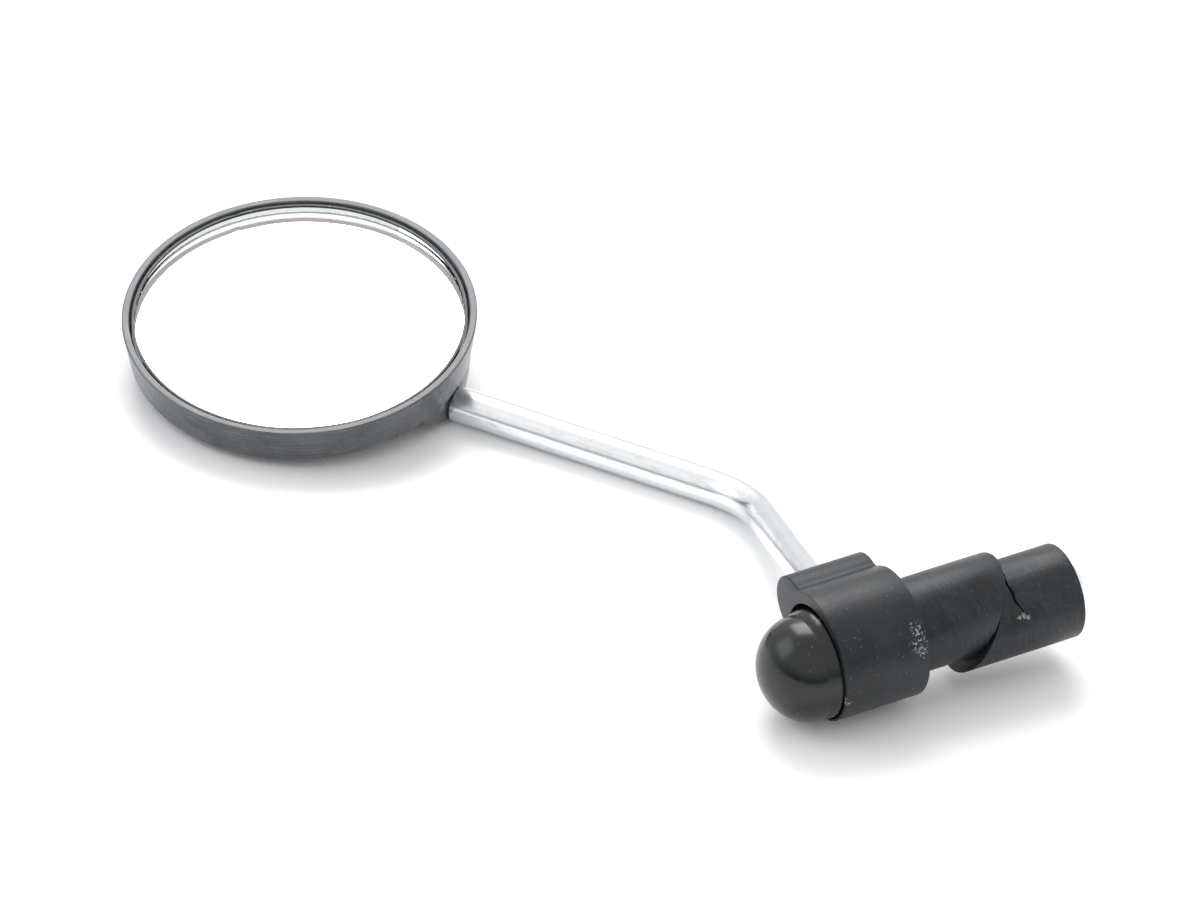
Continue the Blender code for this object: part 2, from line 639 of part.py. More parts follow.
def expander_screw(screw_line, mat):
    top = SCREW_HEAD_SEAT - SCREW_HEAD_HEIGHT
    edge = 0.4 * MM
    profile = [(0.0, top), (SCREW_HEAD_RADIUS - edge, top), (SCREW_HEAD_RADIUS, top + edge),
               (SCREW_HEAD_RADIUS, SCREW_HEAD_SEAT), (SCREW_RADIUS, SCREW_HEAD_SEAT),
               (SCREW_RADIUS, SCREW_END - edge), (SCREW_RADIUS - edge, SCREW_END),
               (0.0, SCREW_END)]
    obj = finish(turned(profile, SMALL_ROUND), "expander_screw", screw_line, mat)
    socket = extruded(hexagon(SCREW_SOCKET_RADIUS, 0.0), top - MM, top + 2.6 * MM)
    combine(obj, cutter(socket, "cut_hex_socket", screw_line), "DIFFERENCE")
    return obj


def hub_washer(clamp, mat):
    top = RECESS_FLOOR - 0.4 * MM
    profile = ring_profile(SCREW_RADIUS + 0.3 * MM, 7.7 * MM, top - MM, top, 0.15 * MM)
    return finish(turned(profile), "hub_washer", clamp, mat)


def spring_washer(clamp, mat):
    """Split ring with its ends sprung apart by a fraction of its thickness."""
    inner, outer = SCREW_RADIUS + 0.25 * MM, 4.4 * MM
    low, thick, lift = -10.35 * MM, 1.0 * MM, 0.15 * MM
    rings = []
    steps = 40
    opening = math.radians(7.0)
    for k in range(steps + 1):
        angle = opening + (math.tau - 2 * opening) * k / steps
        bottom = low + lift * k / steps
        along = Vector((math.cos(angle), math.sin(angle), 0.0))
        rings.append([along * inner + Vector((0, 0, bottom)), along * outer + Vector((0, 0, bottom)),
                      along * outer + Vector((0, 0, bottom + thick - lift)),
                      along * inner + Vector((0, 0, bottom + thick - lift))])
    return finish(skinned(rings), "spring_washer", clamp, mat)


def dome_cap(clamp, mat):
    """Soft domed cap with a pocket that grips the screw's head."""
    edge = 0.25 * MM
    crown = [(CAP_RADIUS * math.cos(k * math.pi / 28),
              CAP_SPRING - CAP_CROWN * math.sin(k * math.pi / 28)) for k in range(14)]
    flared = CAP_SPRING + CAP_FLARE
    profile = ([(0.0, CAP_BASE), (CAP_BASE_RADIUS - edge, CAP_BASE),
                (CAP_BASE_RADIUS, CAP_BASE - edge), (CAP_BASE_RADIUS, flared)]
               + crown + [(0.0, CAP_SPRING - CAP_CROWN)])
    bm = turned(profile[::-1], ROUND, (CAP_SHIFT_X, CAP_SHIFT_Y))
    for vert in bm.verts:
        share = min(max(vert.co.z - CAP_SPRING, 0.0) / CAP_FLARE, 1.0)
        vert.co.x += share * CAP_LEAN_X
        vert.co.y += share * CAP_LEAN_Y
    obj = finish(bm, "dome_cap", clamp, mat)
    depth = SCREW_HEAD_SEAT - SCREW_HEAD_HEIGHT - 0.5 * MM
    pocket = [(0.0, depth), (4.75 * MM, depth), (4.75 * MM, -9.4 * MM),
              (8.05 * MM, -9.4 * MM), (8.05 * MM, CAP_BASE + MM), (0.0, CAP_BASE + MM)]
    combine(obj, cutter(turned(pocket), "cut_head_pocket", clamp), "DIFFERENCE")
    return obj


# ---------------------------------------------------------------- assembly
def build():
    clear_scene()
    shell = material("housing_plastic", (0.055, 0.058, 0.065), 0.42)
    lip = material("bezel_plastic", (0.03, 0.03, 0.034), 0.45)
    silver = material("mirror", (0.9, 0.91, 0.92), 0.02, 1.0)
    foam = material("foam", (0.16, 0.16, 0.17), 0.95)
    nylon = material("nylon", (0.82, 0.81, 0.76), 0.5)
    zinc = material("zinc_plate", (0.78, 0.81, 0.85), 0.22, 1.0)
    grey = material("collar_plastic", (0.07, 0.073, 0.08), 0.6)
    rubber = material("cap_rubber", (0.04, 0.042, 0.045), 0.4)
    spring = material("spring_steel", (0.35, 0.36, 0.38), 0.35, 1.0)

    whole = empty("whole", Matrix.Translation((HEAD_X, ARM_Y, 0.0)))
    head = empty("head_axis", head_matrix(), whole)
    arm = empty("arm_axis", arm_matrix(), whole)
    arm_line = empty("arm_line", Matrix.Translation((0.0, 0.0, TUBE_RADIUS)), whole)
    clamp = empty("clamp_axis", clamp_matrix(), whole)
    screw_line = empty("screw_axis", screw_matrix(), whole)
    bpy.context.view_layer.update()

    mirror_housing(head, shell)
    glass_bezel(head, lip)
    mirror_glass(head, silver)
    glass_pad(head, foam)
    head_bush(head, nylon)
    head_wave_washer(head, spring)
    head_washer(arm_line, zinc)
    head_clip(arm_line, spring)
    head_pivot_pin(arm_line, zinc)
    arm_tube(arm, zinc)
    arm_foot_plug(arm, nylon)
    bar_collar(clamp, arm, grey)
    arm_lock_pin(clamp, spring)
    collar_friction_ring(clamp, nylon)
    plug_body(clamp, screw_line, grey)
    expander_wedge(clamp, grey)
    wedge_nut(screw_line, zinc)
    expander_screw(screw_line, zinc)
    hub_washer(clamp, zinc)
    spring_washer(clamp, spring)
    dome_cap(clamp, rubber)


build()
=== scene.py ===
import math

import bmesh
import bpy
from mathutils import Matrix, Vector
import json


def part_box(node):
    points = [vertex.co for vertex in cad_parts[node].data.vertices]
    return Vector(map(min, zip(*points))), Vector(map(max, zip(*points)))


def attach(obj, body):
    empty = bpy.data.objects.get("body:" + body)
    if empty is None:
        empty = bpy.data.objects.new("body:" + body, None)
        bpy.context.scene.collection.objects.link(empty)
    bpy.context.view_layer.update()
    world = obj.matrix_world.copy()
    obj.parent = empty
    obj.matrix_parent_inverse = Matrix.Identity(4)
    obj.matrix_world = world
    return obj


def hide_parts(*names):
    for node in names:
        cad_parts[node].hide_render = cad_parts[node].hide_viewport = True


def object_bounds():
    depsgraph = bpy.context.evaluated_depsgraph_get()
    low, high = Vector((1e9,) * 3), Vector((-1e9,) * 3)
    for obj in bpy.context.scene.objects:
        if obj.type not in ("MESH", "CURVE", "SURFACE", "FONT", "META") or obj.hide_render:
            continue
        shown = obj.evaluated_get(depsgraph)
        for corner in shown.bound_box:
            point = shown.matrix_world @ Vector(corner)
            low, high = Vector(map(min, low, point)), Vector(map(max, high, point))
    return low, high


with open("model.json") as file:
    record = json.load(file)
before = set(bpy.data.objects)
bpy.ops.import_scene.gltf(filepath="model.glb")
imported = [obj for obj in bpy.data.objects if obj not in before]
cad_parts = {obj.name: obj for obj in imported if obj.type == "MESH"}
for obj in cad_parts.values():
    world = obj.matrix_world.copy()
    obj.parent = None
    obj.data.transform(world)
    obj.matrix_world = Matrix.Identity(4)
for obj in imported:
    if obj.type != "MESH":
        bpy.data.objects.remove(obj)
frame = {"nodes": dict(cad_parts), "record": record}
cad_low, cad_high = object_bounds()
MM = 0.001

# ---------------------------------------------------------------- camera
# A long lens looks down on the mirror from the arm's side, with a slight roll.
# The place is measured from the middle of the glass.
glass_low, glass_high = (Vector(corner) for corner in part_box("mirror_glass"))
glass_middle = (glass_low + glass_high) / 2
scene = bpy.context.scene
camera_data = bpy.data.cameras.new("camera")
camera_data.lens = 270.0
camera_data.sensor_width = 36.0
camera_data.clip_start = 0.1
camera_data.clip_end = 20.0
camera = bpy.data.objects.new("camera", camera_data)
scene.collection.objects.link(camera)
camera_right = Vector((0.8973833, 0.4372499, 0.0592930))
camera_up = Vector((-0.2931469, 0.4903380, 0.8207518))
camera_back = camera_right.cross(camera_up)
camera_turn = Matrix((camera_right, camera_up, camera_back)).transposed().to_4x4()
camera_offset = Vector((0.6624895, -1.3587150, 1.0171300))
camera.matrix_world = Matrix.Translation(glass_middle + camera_offset) @ camera_turn
scene.camera = camera

# ---------------------------------------------------------------- studio
# A pale floor, a wide soft light overhead and a smaller one on the left.
# The surround is white above and darker low down, most of all on the near side.
floor_mesh = bpy.data.meshes.new("floor")
floor_bm = bmesh.new()
bmesh.ops.create_grid(floor_bm, x_segments=1, y_segments=1, size=6.0)
floor_bm.to_mesh(floor_mesh)
floor_bm.free()
floor = bpy.data.objects.new("floor", floor_mesh)
floor.location = (0.0, 0.0, cad_low[2] - 0.0002)
scene.collection.objects.link(floor)
floor_paint = bpy.data.materials.new("floor_paint")
floor_paint.use_nodes = True
floor_shader = floor_paint.node_tree.nodes["Principled BSDF"]
floor_shader.inputs["Base Color"].default_value = (0.97, 0.97, 0.972, 1.0)
floor_shader.inputs["Roughness"].default_value = 0.9
floor_mesh.materials.append(floor_paint)


def area_light(name, place, target, size, power, tint):
    data = bpy.data.lights.new(name, "AREA")
    data.shape = "SQUARE"
    data.size = size
    data.energy = power
    data.color = tint
    lamp = bpy.data.objects.new(name, data)
    lamp.location = place
    lamp.rotation_euler = (Vector(target) - Vector(place)).to_track_quat("-Z", "Y").to_euler()
    scene.collection.objects.link(lamp)


area_light("light_above", (-0.55, 0.85, 1.25), (0.0, 0.0, 0.0), 1.0, 17.0, (1.0, 1.0, 1.0))
area_light("light_left", (-1.1, -0.5, 0.9), (0.0, 0.0, 0.0), 0.9, 4.0, (0.94, 0.97, 1.0))


def wire(tree, kind, settings=None, **sockets):
    """Adds a node; sockets are given by name, or as i0, i1 ... by number."""
    item = tree.nodes.new(kind)
    for name, value in (settings or {}).items():
        setattr(item, name, value)
    for name, value in sockets.items():
        by_number = name[0] == "i" and name[1:].isdigit()
        socket = item.inputs[int(name[1:])] if by_number else item.inputs[name.replace("_", " ")]
        if isinstance(value, bpy.types.NodeSocket):
            tree.links.new(value, socket)
        else:
            socket.default_value = value
    return item


def math_node(tree, operation, first, second=0.5, third=0.5):
    item = wire(tree, "ShaderNodeMath", {"operation": operation}, i0=first, i1=second, i2=third)
    return item.outputs[0]


def ramp(tree, factor, stops, blend="LINEAR"):
    """Colour ramp from (position, grey or colour) stops."""
    item = wire(tree, "ShaderNodeValToRGB", None, Fac=factor)
    item.color_ramp.interpolation = blend
    while len(item.color_ramp.elements) < len(stops):
        item.color_ramp.elements.new(0.5)
    for element, (place, value) in zip(item.color_ramp.elements, stops):
        element.position = place
        element.color = (value, value, value, 1.0) if isinstance(value, float) else (*value, 1.0)
    return item.outputs["Color"]


surround = bpy.data.worlds.new("surround")
surround.use_nodes = True
scene.world = surround
sky = surround.node_tree
sky_direction = wire(sky, "ShaderNodeTexCoord").outputs["Generated"]
sky_parts = wire(sky, "ShaderNodeSeparateXYZ", None, Vector=sky_direction)
nearness = math_node(sky, "MULTIPLY_ADD", sky_parts.outputs["X"], 0.5,
                     math_node(sky, "MULTIPLY", sky_parts.outputs["Y"], -1.0))
near_mask = ramp(sky, nearness, [(0.0, 0.35), (0.7, 1.0)], "EASE")
low_mask = ramp(sky, sky_parts.outputs["Z"], [(0.04, 1.0), (0.42, 0.0)], "EASE")
dark_mask = math_node(sky, "MULTIPLY", near_mask, low_mask)
sky_colour = wire(sky, "ShaderNodeMixRGB", None, Fac=dark_mask,
                  Color1=(1.0, 1.0, 1.0, 1.0), Color2=(0.24, 0.29, 0.31, 1.0)).outputs[0]
background = sky.nodes["Background"]
sky.links.new(sky_colour, background.inputs["Color"])
background.inputs["Strength"].default_value = 1.0
scene.view_settings.view_transform = "Standard"
scene.view_settings.look = "None"


# ---------------------------------------------------------------- shared surfaces
# Node groups that the pieces' finishes draw on: moulded grain, fine lines, zinc plating
# and a small spot. Their outputs are plain colours, values and normals.
def group(name, inputs, outputs):
    tree = bpy.data.node_groups.new(name, "ShaderNodeTree")
    for title, kind, start in inputs:
        socket = tree.interface.new_socket(title, in_out="INPUT", socket_type=kind)
        if start is not None:
            socket.default_value = start
    for title, kind in outputs:
        tree.interface.new_socket(title, in_out="OUTPUT", socket_type=kind)
    return tree, tree.nodes.new("NodeGroupInput").outputs, tree.nodes.new("NodeGroupOutput").inputs


FLOAT, COLOR, VECTOR = "NodeSocketFloat", "NodeSocketColor", "NodeSocketVector"


def make_moulded():
    """Grainy moulded plastic with soft cloudiness and sparse pale specks."""
    tree, given, result = group("moulded", [
        ("Vector", VECTOR, None), ("Dark", COLOR, (0.02, 0.02, 0.02, 1)),
        ("Light", COLOR, (0.05, 0.05, 0.05, 1)), ("Grain", FLOAT, 2500.0),
        ("Speck", FLOAT, 0.3), ("Roughness", FLOAT, 0.45), ("Relief", FLOAT, 0.2)],
        [("Color", COLOR), ("Roughness", FLOAT), ("Normal", VECTOR)])
    fine = wire(tree, "ShaderNodeTexNoise", None, Vector=given["Vector"], Scale=given["Grain"],
                Detail=3.0, Roughness=0.65).outputs["Fac"]
    cloud = wire(tree, "ShaderNodeTexNoise", None, Vector=given["Vector"], Scale=120.0,
                 Detail=4.0).outputs["Fac"]
    blend = math_node(tree, "MULTIPLY_ADD", cloud, 0.5, math_node(tree, "MULTIPLY", fine, 0.5))
    mixed = ramp(tree, blend, [(0.36, 0.0), (0.64, 1.0)])
    base = wire(tree, "ShaderNodeMixRGB", None, Fac=mixed, Color1=given["Dark"],
                Color2=given["Light"]).outputs[0]
    cells = wire(tree, "ShaderNodeTexVoronoi", None, Vector=given["Vector"],
                 Scale=math_node(tree, "MULTIPLY", given["Grain"], 0.45))
    spot = ramp(tree, cells.outputs["Distance"], [(0.10, 1.0), (0.22, 0.0)])
    chance = ramp(tree, wire(tree, "ShaderNodeSeparateColor", None,
                             Color=cells.outputs["Color"]).outputs[0], [(0.80, 0.0), (0.9, 1.0)])
    speck = math_node(tree, "MULTIPLY", math_node(tree, "MULTIPLY", spot, chance), given["Speck"])
    colour = wire(tree, "ShaderNodeMixRGB", None, Fac=speck, Color1=base,
                  Color2=(0.42, 0.43, 0.45, 1.0)).outputs[0]
    tree.links.new(colour, result["Color"])
    rough = math_node(tree, "MULTIPLY_ADD", math_node(tree, "SUBTRACT", cloud, 0.5), 0.35,
                      given["Roughness"])
    tree.links.new(rough, result["Roughness"])
    bump = wire(tree, "ShaderNodeBump", None, Strength=given["Relief"], Distance=0.00005,
                Height=fine).outputs["Normal"]
    tree.links.new(bump, result["Normal"])
    return tree


def make_lines():
    """Fine broken lines along the second direction of a flat (u, v) vector."""
    tree, given, result = group("lines", [
        ("Vector", VECTOR, None), ("Angle", FLOAT, 0.0), ("Across", FLOAT, 9000.0),
        ("Along", FLOAT, 300.0), ("Threshold", FLOAT, 0.62)], [("Mask", FLOAT), ("Soft", FLOAT)])
    turned = wire(tree, "ShaderNodeVectorRotate", {"rotation_type": "Z_AXIS"},
                  Vector=given["Vector"], Angle=given["Angle"]).outputs[0]
    scale = wire(tree, "ShaderNodeCombineXYZ", None, X=given["Across"], Y=given["Along"],
                 Z=400.0).outputs[0]
    stretched = wire(tree, "ShaderNodeVectorMath", {"operation": "MULTIPLY"}, i0=turned,
                     i1=scale).outputs[0]
    noise = wire(tree, "ShaderNodeTexNoise", None, Vector=stretched, Scale=1.0,
                 Detail=2.0).outputs["Fac"]
    low = given["Threshold"]
    high = math_node(tree, "ADD", low, 0.06)
    mask = wire(tree, "ShaderNodeMapRange", {"interpolation_type": "SMOOTHSTEP"}, Value=noise,
                i1=low, i2=high).outputs[0]
    tree.links.new(mask, result["Mask"])
    tree.links.new(noise, result["Soft"])
    return tree


def make_spot():
    """A ragged patch of a given size around a point."""
    tree, given, result = group("spot", [
        ("Vector", VECTOR, None), ("Centre", VECTOR, None), ("Size", FLOAT, 0.001),
        ("Ragged", FLOAT, 0.4)], [("Mask", FLOAT)])
    away = wire(tree, "ShaderNodeVectorMath", {"operation": "DISTANCE"}, i0=given["Vector"],
                i1=given["Centre"]).outputs["Value"]
    wobble = wire(tree, "ShaderNodeTexNoise", None, Vector=given["Vector"], Scale=1800.0,
                  Detail=3.0).outputs["Fac"]
    grown = math_node(tree, "MULTIPLY", given["Size"],
                      math_node(tree, "MULTIPLY_ADD", math_node(tree, "SUBTRACT", wobble, 0.5),
                                math_node(tree, "MULTIPLY", given["Ragged"], 4.0), 1.0))
    ratio = math_node(tree, "DIVIDE", away, grown)
    tree.links.new(ramp(tree, ratio, [(0.6, 1.0), (1.0, 0.0)]), result["Mask"])
    return tree


def make_plating():
    """Bright zinc: bluish patches, drawn lines along v and small dull stains."""
    tree, given, result = group("plating", [
        ("Vector", VECTOR, None), ("Light", COLOR, (0.86, 0.89, 0.93, 1)),
        ("Dull", COLOR, (0.55, 0.60, 0.66, 1)), ("Stain", FLOAT, 0.5), ("Roughness", FLOAT, 0.2)],
        [("Color", COLOR), ("Roughness", FLOAT), ("Normal", VECTOR)])
    lines = wire(tree, "ShaderNodeGroup", {"node_tree": LINES}, Vector=given["Vector"],
                 Angle=0.0, Across=5200.0, Along=90.0, Threshold=0.5)
    drawn_out = wire(tree, "ShaderNodeVectorMath", {"operation": "MULTIPLY"},
                     i0=given["Vector"], i1=(1.0, 0.28, 1.0)).outputs[0]
    patch = wire(tree, "ShaderNodeTexNoise", None, Vector=drawn_out, Scale=480.0,
                 Detail=6.0, Roughness=0.75).outputs["Fac"]
    stain = math_node(tree, "MULTIPLY", ramp(tree, patch, [(0.52, 0.0), (0.72, 1.0)]),
                      given["Stain"])
    drawn = math_node(tree, "MULTIPLY", lines.outputs["Soft"], 0.45)
    dull = math_node(tree, "ADD", stain, drawn)
    dull = wire(tree, "ShaderNodeClamp", None, Value=dull).outputs[0]
    colour = wire(tree, "ShaderNodeMixRGB", None, Fac=dull, Color1=given["Light"],
                  Color2=given["Dull"]).outputs[0]
    tree.links.new(colour, result["Color"])
    rough = math_node(tree, "MULTIPLY_ADD", dull, 0.16, given["Roughness"])
    tree.links.new(rough, result["Roughness"])
    bump = wire(tree, "ShaderNodeBump", None, Strength=0.12, Distance=0.00003,
                Height=lines.outputs["Soft"]).outputs["Normal"]
    tree.links.new(bump, result["Normal"])
    return tree


MOULDED = make_moulded()
LINES = make_lines()
SPOT = make_spot()
PLATING = make_plating()


def finish_material(name, metallic=0.0, coat=0.0):
    """Empty material with its tree, shader and the two coordinates in use."""
    mat = bpy.data.materials.new(name)
    mat.use_nodes = True
    tree = mat.node_tree
    shader = tree.nodes["Principled BSDF"]
    shader.inputs["Metallic"].default_value = metallic
    shader.inputs["Coat Weight"].default_value = coat
    place = tree.nodes.new("ShaderNodeTexCoord")
    return mat, tree, shader, place.outputs["Object"], place.outputs["UV"]


def join_up(tree, shader, source, names=("Color", "Roughness", "Normal")):
    for name in names:
        target = "Base Color" if name == "Color" else name
        tree.links.new(source.outputs[name], shader.inputs[target])


# ---------------------------------------------------------------- head
# A drafted dish with a retaining ring and a silvered glass disc, and under it the rib that
# holds the arm. All are made about the arm's axis at the mirror's centre.
joints = {joint["name"]: joint for joint in frame["record"]["behaviour"]["joints"]}
HEAD_TILT = math.radians(9.03)
HEAD_SIDE = -1.3 * MM
RIM_UP = 12.0 * MM
arm_height = joints["head_swivel"]["pos_m"][2]
arm_across = joints["head_swivel"]["pos_m"][1]
head_frame = (Matrix.Translation((glass_middle.x, arm_across, arm_height))
              @ Matrix.Rotation(HEAD_TILT, 4, "X"))
rim_frame = head_frame @ Matrix.Translation((0.0, HEAD_SIDE, RIM_UP))


def lathe(profile, segments, matrix, wobble=None):
    """Revolved closed outline of (radius, height), with (arc length, outline length) as UV."""
    bm = bmesh.new()
    uv = bm.loops.layers.uv.new("UVMap")
    lengths = [0.0]
    for (r0, h0), (r1, h1) in zip(profile, profile[1:] + profile[:1]):
        lengths.append(lengths[-1] + math.hypot(r1 - r0, h1 - h0))
    rows = []
    for radius, height in profile:
        if radius < 1e-7:
            rows.append([bm.verts.new(matrix @ Vector((0.0, 0.0, height)))])
            continue
        row = []
        for k in range(segments):
            angle = math.tau * k / segments
            r, h = wobble(radius, height, angle) if wobble else (radius, height)
            row.append(bm.verts.new(matrix @ Vector((r * math.cos(angle), r * math.sin(angle), h))))
        rows.append(row)
    widest = max(radius for radius, _ in profile)
    for i, row in enumerate(rows):
        other = rows[(i + 1) % len(rows)]
        if len(row) == 1 and len(other) == 1:
            continue
        for k in range(segments):
            j = (k + 1) % segments
            spots = [(row, k, 0), (row, j, 0), (other, j, 1), (other, k, 1)]
            ring = [s for s in spots if not (len(s[0]) == 1 and s[1] == j)]
            face = bm.faces.new([s[0][0 if len(s[0]) == 1 else s[1]] for s in ring])
            for loop, s in zip(face.loops, ring):
                turn = k + 1 if s[1] == j else k
                loop[uv].uv = (math.tau * turn / segments * widest, lengths[i + s[2]])
    bmesh.ops.recalc_face_normals(bm, faces=bm.faces)
    return bm


def piece(bm, name, mat, body, nodes=(), sharp=32.0):
    mesh = bpy.data.meshes.new(name)
    bm.to_mesh(mesh)
    bm.free()
    mesh.shade_smooth()
    mesh.set_sharp_from_angle(angle=math.radians(sharp))
    obj = bpy.data.objects.new(name, mesh)
    scene.collection.objects.link(obj)
    mesh.materials.append(mat)
    if body:
        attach(obj, body)
        if nodes:
            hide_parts(*nodes)
    return obj


def carve(obj, steps):
    """Applies (operation, tool mesh) Booleans to obj and removes the tools."""
    for operation, tool in steps:
        step = obj.modifiers.new("carve", "BOOLEAN")
        step.operation = operation
        step.object = tool
        step.solver = "EXACT"
    bake(obj)
    for _, tool in steps:
        bpy.data.objects.remove(tool, do_unlink=True)


def bake(obj, sharp=32.0):
    bpy.context.view_layer.update()
    evaluated = obj.evaluated_get(bpy.context.evaluated_depsgraph_get())
    mesh = bpy.data.meshes.new_from_object(evaluated)
    obj.modifiers.clear()
    old = obj.data
    obj.data = mesh
    mesh.name = old.name
    bpy.data.meshes.remove(old)
    mesh.shade_smooth()
    mesh.set_sharp_from_angle(angle=math.radians(sharp))


def soften(obj, width, segments, steepest):
    """Rounds the edges that turn by more than the given angle in degrees."""
    edges = obj.modifiers.new("edges", "BEVEL")
    edges.width = width
    edges.segments = segments
    edges.limit_method = "ANGLE"
    edges.angle_limit = math.radians(steepest)
    bake(obj)


def prism(outline, low, high, matrix):
    bm = bmesh.new()
    verts = [bm.verts.new((x, y, low)) for x, y in outline]
    face = bm.faces.new(verts)
    grown = bmesh.ops.extrude_face_region(bm, geom=[face])
    moved = [item for item in grown["geom"] if isinstance(item, bmesh.types.BMVert)]
    bmesh.ops.translate(bm, verts=moved, vec=(0.0, 0.0, high - low))
    bmesh.ops.recalc_face_normals(bm, faces=bm.faces)
    bmesh.ops.transform(bm, matrix=matrix, verts=bm.verts)
    return bm


def arc(centre, radius, start, end, steps):
    return [(centre[0] + radius * math.cos(start + (end - start) * k / steps),
             centre[1] + radius * math.sin(start + (end - start) * k / steps))
            for k in range(steps + 1)]


def rounded(points, radius, steps=4):
    """Closed outline with every corner replaced by an arc of up to the given radius."""
    result = []
    for i, point in enumerate(points):
        here = Vector(point)
        back = Vector(points[i - 1]) - here
        on = Vector(points[(i + 1) % len(points)]) - here
        if here.x < 1e-7 or back.length < 1e-7 or on.length < 1e-7:
            result.append(point)
            continue
        reach = min(radius, back.length * 0.45, on.length * 0.45)
        start, end = here + back.normalized() * reach, here + on.normalized() * reach
        for k in range(steps + 1):
            t = k / steps
            spot = start * (1 - t) ** 2 + here * 2 * t * (1 - t) + end * t ** 2
            result.append((spot.x, spot.y))
    return result


housing_mat, tree, shader, at, uv = finish_material("housing_grain", coat=0.12)
wall_lines = wire(tree, "ShaderNodeGroup", {"node_tree": LINES}, Vector=uv,
                  Angle=math.pi / 2, Across=5200.0, Along=130.0, Threshold=0.55)
grain = wire(tree, "ShaderNodeGroup", {"node_tree": MOULDED}, Vector=at,
             Dark=(0.036, 0.040, 0.048, 1.0), Light=(0.080, 0.086, 0.098, 1.0),
             Grain=2600.0, Speck=0.2, Roughness=0.3, Relief=0.25)
lined = wire(tree, "ShaderNodeMixRGB", None, Fac=math_node(
    tree, "MULTIPLY", wall_lines.outputs["Mask"], 0.55), Color1=grain.outputs["Color"],
    Color2=(0.16, 0.17, 0.185, 1.0)).outputs[0]
tree.links.new(lined, shader.inputs["Base Color"])
join_up(tree, shader, grain, ("Roughness",))
relief = wire(tree, "ShaderNodeBump", None, Strength=0.10, Distance=0.00006,
              Height=wall_lines.outputs["Soft"], Normal=grain.outputs["Normal"])
tree.links.new(relief.outputs["Normal"], shader.inputs["Normal"])

RIM, BACK, DEEP, LAND = 36.0 * MM, 34.7 * MM, 8.26 * MM, 1.6 * MM
CUP_FLOOR = 5.5 * MM
dish = [(0.0, -DEEP), (BACK, -DEEP), (RIM, 0.0), (RIM - LAND, 0.0), (RIM - LAND, -CUP_FLOOR),
        (0.0, -CUP_FLOOR)]
dish_bm = lathe(rounded(dish, 0.34 * MM, 4), 288, rim_frame)
housing = piece(dish_bm, "head_shell", housing_mat, "head",
                ["mirror_housing"])

back_up = RIM_UP - DEEP
RIB_HALF, RIB_NOSE, RIB_SIDE = 11.6 * MM, 3.55 * MM, 1.2 * MM
RIB_INNER, RIB_OUTER, RIB_LEAN = 6.0 * MM, 34.2 * MM, 0.9
shoulder = back_up - RIB_SIDE
reach = math.hypot(RIB_HALF, shoulder)
lean = math.atan2(shoulder, RIB_HALF) - math.acos(RIB_NOSE / reach)
rib_side = [(-RIB_HALF, back_up + MM), (-RIB_HALF, shoulder)]
rib_side += arc((0.0, 0.0), RIB_NOSE, math.pi - lean, math.tau + lean, 40)
rib_side += [(RIB_HALF, shoulder), (RIB_HALF, back_up + MM)]
to_arm = Matrix(((0, 0, 1, 0), (1, 0, 0, 0), (0, 1, 0, 0), (0, 0, 0, 1)))
rib_bm = prism(rib_side, RIB_INNER, RIB_OUTER, to_arm)
for vert in rib_bm.verts:
    if abs(vert.co.x - RIB_INNER) < 1e-6:
        vert.co.x += max(0.0, back_up - vert.co.z) * RIB_LEAN
bmesh.ops.transform(rib_bm, matrix=head_frame, verts=rib_bm.verts)
rib = piece(rib_bm, "rib", housing_mat, None)
round_wall = lathe([(0.0, -20 * MM), (BACK - 0.15 * MM, -20 * MM), (BACK - 0.15 * MM, 0.0),
                    (0.0, 0.0)], 144, rim_frame)
carve(rib, [("INTERSECT", piece(round_wall, "wall", housing_mat, None))])
soften(rib, 0.35 * MM, 3, 40.0)

BUSH_BORE, POCKET_START, POCKET_END = 2.95 * MM, 14.5 * MM, 20.2 * MM
along_arm = head_frame @ Matrix.Rotation(math.pi / 2, 4, "Y")
bore = lathe([(0.0, POCKET_END - MM), (BUSH_BORE, POCKET_END - MM),
              (BUSH_BORE, RIB_OUTER + MM), (0.0, RIB_OUTER + MM)], 48, along_arm)
ceiling = RIM_UP - CUP_FLOOR + MM
trough = ([(-BUSH_BORE, ceiling)] + arc((0, 0), BUSH_BORE, math.pi, math.tau, 24)
          + [(BUSH_BORE, ceiling)])
pocket = prism(trough, POCKET_START, POCKET_END, head_frame @ to_arm)
carve(housing, [("UNION", rib),
                ("DIFFERENCE", piece(bore, "bore", housing_mat, None)),
                ("DIFFERENCE", piece(pocket, "pocket", housing_mat, None))])

bezel_mat, tree, shader, at, uv = finish_material("bezel_grain")
grain = wire(tree, "ShaderNodeGroup", {"node_tree": MOULDED}, Vector=at,
             Dark=(0.018, 0.019, 0.021, 1.0), Light=(0.05, 0.052, 0.056, 1.0),
             Grain=2100.0, Speck=0.7, Roughness=0.42, Relief=0.4)
join_up(tree, shader, grain)
bezel_outer = RIM - LAND - 0.3 * MM
BEZEL_TOP, BEZEL_HIGH, BEZEL_WIDE = -0.45 * MM, 0.5 * MM, 0.6 * MM
bezel_ring = [(bezel_outer - BEZEL_WIDE, BEZEL_TOP - BEZEL_HIGH),
              (bezel_outer, BEZEL_TOP - BEZEL_HIGH), (bezel_outer, BEZEL_TOP),
              (bezel_outer - BEZEL_WIDE, BEZEL_TOP)]


